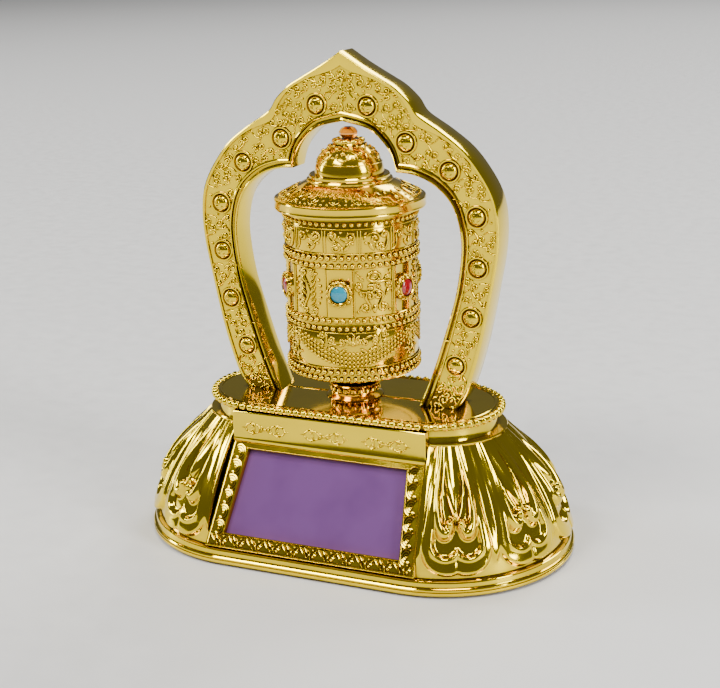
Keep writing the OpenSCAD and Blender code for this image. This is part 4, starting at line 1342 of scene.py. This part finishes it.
@dataclass
class Lid:
    """Stepped lid with its skirt and dome relief, crown, jewel, hub ring and collar."""

    rim_r: float = 18.0
    rim_foot: float = 82.8
    rim_top: float = 85.5
    ledge: float = 88.9
    dome_foot: float = 90.7
    dome_r: float = 8.2
    dome_h: float = 6.9
    dome_end: float = 65.6

    @property
    def dome_full(self) -> float:
        """Return the height that the dome would have if it closed at the top."""
        return self.dome_h / math.sin(math.radians(self.dome_end))

    def _dome_point(self, turn: float, rise: float, out: float) -> Vector:
        """Return the point on the dome at an angle and a rise from 0 at its foot, both in degrees."""
        a, t = math.radians(turn), math.radians(rise)
        radius = (self.dome_r + out) * math.cos(t)
        return Vector(
            (
                radius * math.cos(a), radius * math.sin(a),
                self.dome_foot + (self.dome_full + out) * math.sin(t),
            )
        )

    def _body(self) -> bmesh.types.BMesh:
        """Spin the lid's outline."""
        rises = [math.radians(self.dome_end * i / 14) for i in range(15)]
        dome = [(self.dome_r * math.cos(a), self.dome_foot + self.dome_full * math.sin(a)) for a in rises]
        r = self.rim_r
        return spun([
            (13.9, 79.9), (13.9, self.rim_foot), (r - 0.5, self.rim_foot), (r - 0.12, self.rim_foot + 0.12),
            (r, self.rim_foot + 0.45),
            (r - 0.08, self.rim_foot + 0.75), (r - 0.08, self.rim_top - 0.75), (r, self.rim_top - 0.45),
            (r - 0.12, self.rim_top - 0.15),
            (r - 0.5, self.rim_top), (r - 0.9, self.rim_top + 0.05), (r - 1.2, self.rim_top + 0.35),
            (10.9, self.ledge - 0.15),
            (10.45, self.ledge), (10.2, self.ledge + 0.1), (10.25, self.ledge + 0.5),
            (10.1, self.ledge + 0.75), (9.75, self.ledge + 0.85),
            (9.55, self.ledge + 1.0), (9.6, self.ledge + 1.5), (9.4, self.dome_foot - 0.05),
            (8.6, self.dome_foot),
        ] + dome + [(3.9, 97.55), (3.75, 97.75), (3.75, 98.3), (3.4, 98.6), (0, 98.6)], 144)

    def _skirt(self) -> Relief:
        """Gather leaves and dots round the skirt."""
        slope = (self.ledge - self.rim_top - 0.35) / (self.rim_r - 1.2 - 10.9)
        tilt = math.hypot(1, slope)

        def place(along: float, up: float, out: float) -> Vector:
            """Map a distance round, a distance up the skirt and a distance out to a point."""
            angle = along / 14.0
            radius = 16.8 - up / tilt + out * slope / tilt
            return Vector(
                (
                    radius * math.cos(angle), radius * math.sin(angle),
                    self.rim_top + 0.35 + up * slope / tilt + out / tilt,
                )
            )

        relief = Relief(place, lift=0.02)
        count = 18
        step = math.tau * 14 / count
        for i in range(count):
            x = i * step
            relief.leaf(x, 2.7, (4.0, 1.9), 90, 0.24)
            relief.ring((x, 2.5), (1.25, 2.1), 0.16, (200, 340))
            relief.leaf(x + step / 2, 4.1, (2.2, 0.9), 90, 0.2)
            relief.bead(x + step / 2, 1.7, 0.36, 0.6)
        for i in range(72):
            relief.bead(i * math.tau * 14 / 72, 0.25, 0.34, 0.8)
        return relief

    def _dome_relief(self) -> Relief:
        """Gather the leaves, drops and beads on the dome's upper half."""
        relief = Relief(lambda turn, rise, out: self._dome_point(turn * 10, rise * 10, out), lift=0.02)
        for i in range(9):
            turn = 4.0 * i
            relief.ring((turn, 4.1), (1.25, 1.35), 0.24, (180, 360))
            relief.bead(turn, 4.3, 0.62, 0.8)
            relief.bead(turn + 2.0, 3.4, 0.4, 0.8)
            relief.bead(turn + 2.0, 5.3, 0.52, 0.9)
            relief.bead(turn, 5.9, 0.42, 0.9)
            relief.bead(turn, 2.45, 0.3, 0.8)
        relief.line([(t * 1.0, 2.0) for t in range(37)], 0.13)
        return relief

    def _crown(self) -> bmesh.types.BMesh:
        """Build the ring of small lobes under the jewel."""
        bm = bmesh.new()
        for i in range(9):
            turn = Matrix.Rotation(math.tau * i / 9, 4, "Z")
            size = Matrix.Diagonal((0.9, 1.25, 0.75, 1))
            bmesh.ops.create_uvsphere(
                bm, u_segments=12, v_segments=7, radius=1,
                matrix=turn @ Matrix.Translation((3.1, 0, 98.15)) @ size,
            )
        return bm

    @staticmethod
    def _jewel() -> bmesh.types.BMesh:
        """Build the faceted jewel on its short stem."""
        return spun(
            [
                (0, 97.9), (1.1, 97.9), (1.1, 98.7), (1.5, 98.85), (2.25, 99.75), (2.3, 100.15),
                (1.75, 101.0), (1.0, 101.4), (0, 101.4),
            ],
            9,
        )

    @staticmethod
    def _hub() -> bmesh.types.BMesh:
        """Spin the hub under the drum."""
        bm = spun([
            (1.6, 40.05), (5.2, 40.05), (5.5, 40.2), (5.9, 40.5), (6.0, 41.7), (6.5, 42.0), (6.9, 42.4),
            (6.95, 43.2), (7.3, 43.35),
            (13.7, 43.62), (13.9, 43.7), (13.9, 45.4), (1.6, 45.4),
        ], 96, closed=True)
        for i in range(24):
            turn = Matrix.Rotation(math.tau * i / 24, 4, "Z")
            bmesh.ops.create_uvsphere(
                bm, u_segments=8, v_segments=5, radius=0.72,
                matrix=turn @ Matrix.Translation((6.15, 0, 41.1)),
            )
        return bm

    @staticmethod
    def _collar() -> bmesh.types.BMesh:
        """Spin the pedestal collar, with a row of petals round its waist."""
        bm = spun([
            (3.1, 36.0), (6.9, 36.0), (6.95, 36.25), (6.6, 36.55), (6.2, 36.8), (5.75, 37.3), (5.6, 37.6),
            (5.6, 38.5), (5.9, 39.0), (6.4, 39.3),
            (6.45, 39.5), (6.3, 39.6), (4.2, 39.6), (4.2, 39.25), (3.1, 39.25),
        ], 96, closed=True)
        for i in range(20):
            turn = Matrix.Rotation(math.tau * i / 20, 4, "Z")
            size = Matrix.Diagonal((0.55, 0.82, 0.62, 1))
            bmesh.ops.create_uvsphere(
                bm, u_segments=8, v_segments=5, radius=1,
                matrix=turn @ Matrix.Translation((5.75, 0, 38.05)) @ size,
            )
        return bm

    def build(self) -> None:
        """Build the lid, crown, jewel, hub and collar."""
        add_piece("lid_body", self._body(), DRUM_GOLD, "drum", ["drum_lid"], 32)
        add_piece("lid_skirt_relief", self._skirt().build(), DRUM_GOLD, "drum", crisp=65)
        add_piece(
            "lid_dome_relief", self._dome_relief().build(), DRUM_GOLD, "drum", crisp=65,
        )
        add_piece("lid_crown", self._crown(), DRUM_GOLD, "drum", crisp=65)
        add_piece("finial_jewel", self._jewel(), AMBER, "drum", ["finial"], 12)
        add_piece("drum_hub", self._hub(), DRUM_GOLD, "drum", ["drum_base_cap"])
        add_piece("collar_ring", self._collar(), DEEP_GOLD, "base", ["pedestal_collar"])


@dataclass
class CadParts:
    """Finishes of the CAD nodes that stay in view."""

    record: dict

    def build(self) -> None:
        """Give every CAD node the finish of its slot."""
        table = {part["node"]: part["material_slot"] for part in self.record["subparts"]}
        for name, node in frame["nodes"].items():
            finish = SLOT_FINISHES[table[name]]
            for slot in node.material_slots:
                slot.material = finish.material()
            LOG.info("%s: %s", name, finish.name)


@dataclass
class Studio:
    """Camera, pale floor, soft lights and dim surroundings, in metres and watts.

    Attributes:
        location: Where the camera is.
        back: Direction from what the camera looks at to the camera.
        roll: The camera's roll, in radians.
        lens: Its focal length on a 36 mm sensor.
        floor_radius: Radius of the floor.
        lights: Name, place, size, power and colour of each light.
    """

    location: Vector = field(default_factory=lambda: Vector((0.1303, -0.2985, 0.1457)))
    back: Vector = field(default_factory=lambda: Vector((0.3795, -0.8799, 0.2859)))
    roll: float = math.radians(-1.482)
    lens: float = 69.8
    floor_radius: float = 30
    lights: tuple[tuple, ...] = (
        ("key_softbox", (-0.9, -1.7, 2.1), (1.2, 0.7), 58.0, "#FFFCF4"),
        ("top_softbox", (0.5, -0.75, 2.3), (0.9, 0.5), 31.0, "#FFFEFA"),
        ("side_softbox", (2.2, -0.7, 1.1), (0.6, 1.5), 52.0, "#FFFFFF"),
        ("left_strip", (-2.2, -0.2, 0.9), (0.3, 1.5), 26.0, "#F6F9FF"),
        ("back_softbox", (0.5, 2.2, 1.9), (1.5, 0.7), 45.0, "#FFFFFF"),
    )

    def camera(self) -> None:
        """Make the scene's camera at the wanted angle."""
        data = bpy.data.cameras.new("camera")
        data.lens, data.sensor_width = self.lens, 36
        data.clip_start, data.clip_end = 0.01, 20
        camera = bpy.data.objects.new("camera", data)
        back = self.back.normalized()
        right = UP.cross(back).normalized()
        top = back.cross(right)
        c, s = math.cos(self.roll), math.sin(self.roll)
        x, y = right * c + top * s, top * c - right * s
        rows = [(x[i], y[i], back[i], self.location[i]) for i in range(3)]
        camera.matrix_world = Matrix(rows + [(0, 0, 0, 1)])
        bpy.context.scene.collection.objects.link(camera)
        bpy.context.scene.camera = camera

    def _light(self, name: str, at: Vector, size: Flat, power: float, colour: str) -> None:
        """Add an area light that points at the drum."""
        data = bpy.data.lights.new(name, "AREA")
        data.shape, data.size, data.size_y = "RECTANGLE", *size
        data.energy, data.color = power, to_linear(colour)[:3]
        lamp = bpy.data.objects.new(name, data)
        lamp.location = at
        lamp.rotation_mode = "QUATERNION"
        lamp.rotation_quaternion = (Vector((0, 0, 0.05)) - at).to_track_quat("-Z", "Y")
        bpy.context.scene.collection.objects.link(lamp)

    def build(self) -> None:
        """Make the floor, the lights and the world."""
        bm = bmesh.new()
        bmesh.ops.create_circle(bm, cap_ends=True, segments=96, radius=self.floor_radius)
        mesh = as_mesh(bm, "floor")
        mesh.materials.append(FLOOR.material())
        floor = bpy.data.objects.new("floor", mesh)
        bpy.context.scene.collection.objects.link(floor)
        for name, at, size, power, colour in self.lights:
            self._light(name, Vector(at), size, power, colour)
        world = bpy.data.worlds.new("studio")
        world.use_nodes = True
        world.node_tree.nodes.clear()
        tree = world.node_tree
        shade = add_node(tree, "ShaderNodeBackground", {"Color": to_linear("#C9CBCE"), "Strength": 0.24})
        out = tree.nodes.new("ShaderNodeOutputWorld")
        tree.links.new(shade.outputs["Background"], out.inputs["Surface"])
        bpy.context.scene.world = world


def main() -> None:
    """Build the studio and every sub-assembly."""
    logging.basicConfig(level=logging.INFO, format="%(message)s")
    studio = Studio()
    studio.camera()
    CadParts(frame["record"]).build()
    for part in (LotusBase(), FrontFace(), Deck(), Arch(), Drum(), Lid(), studio):
        part.build()


if __name__ == "__main__":
    main()
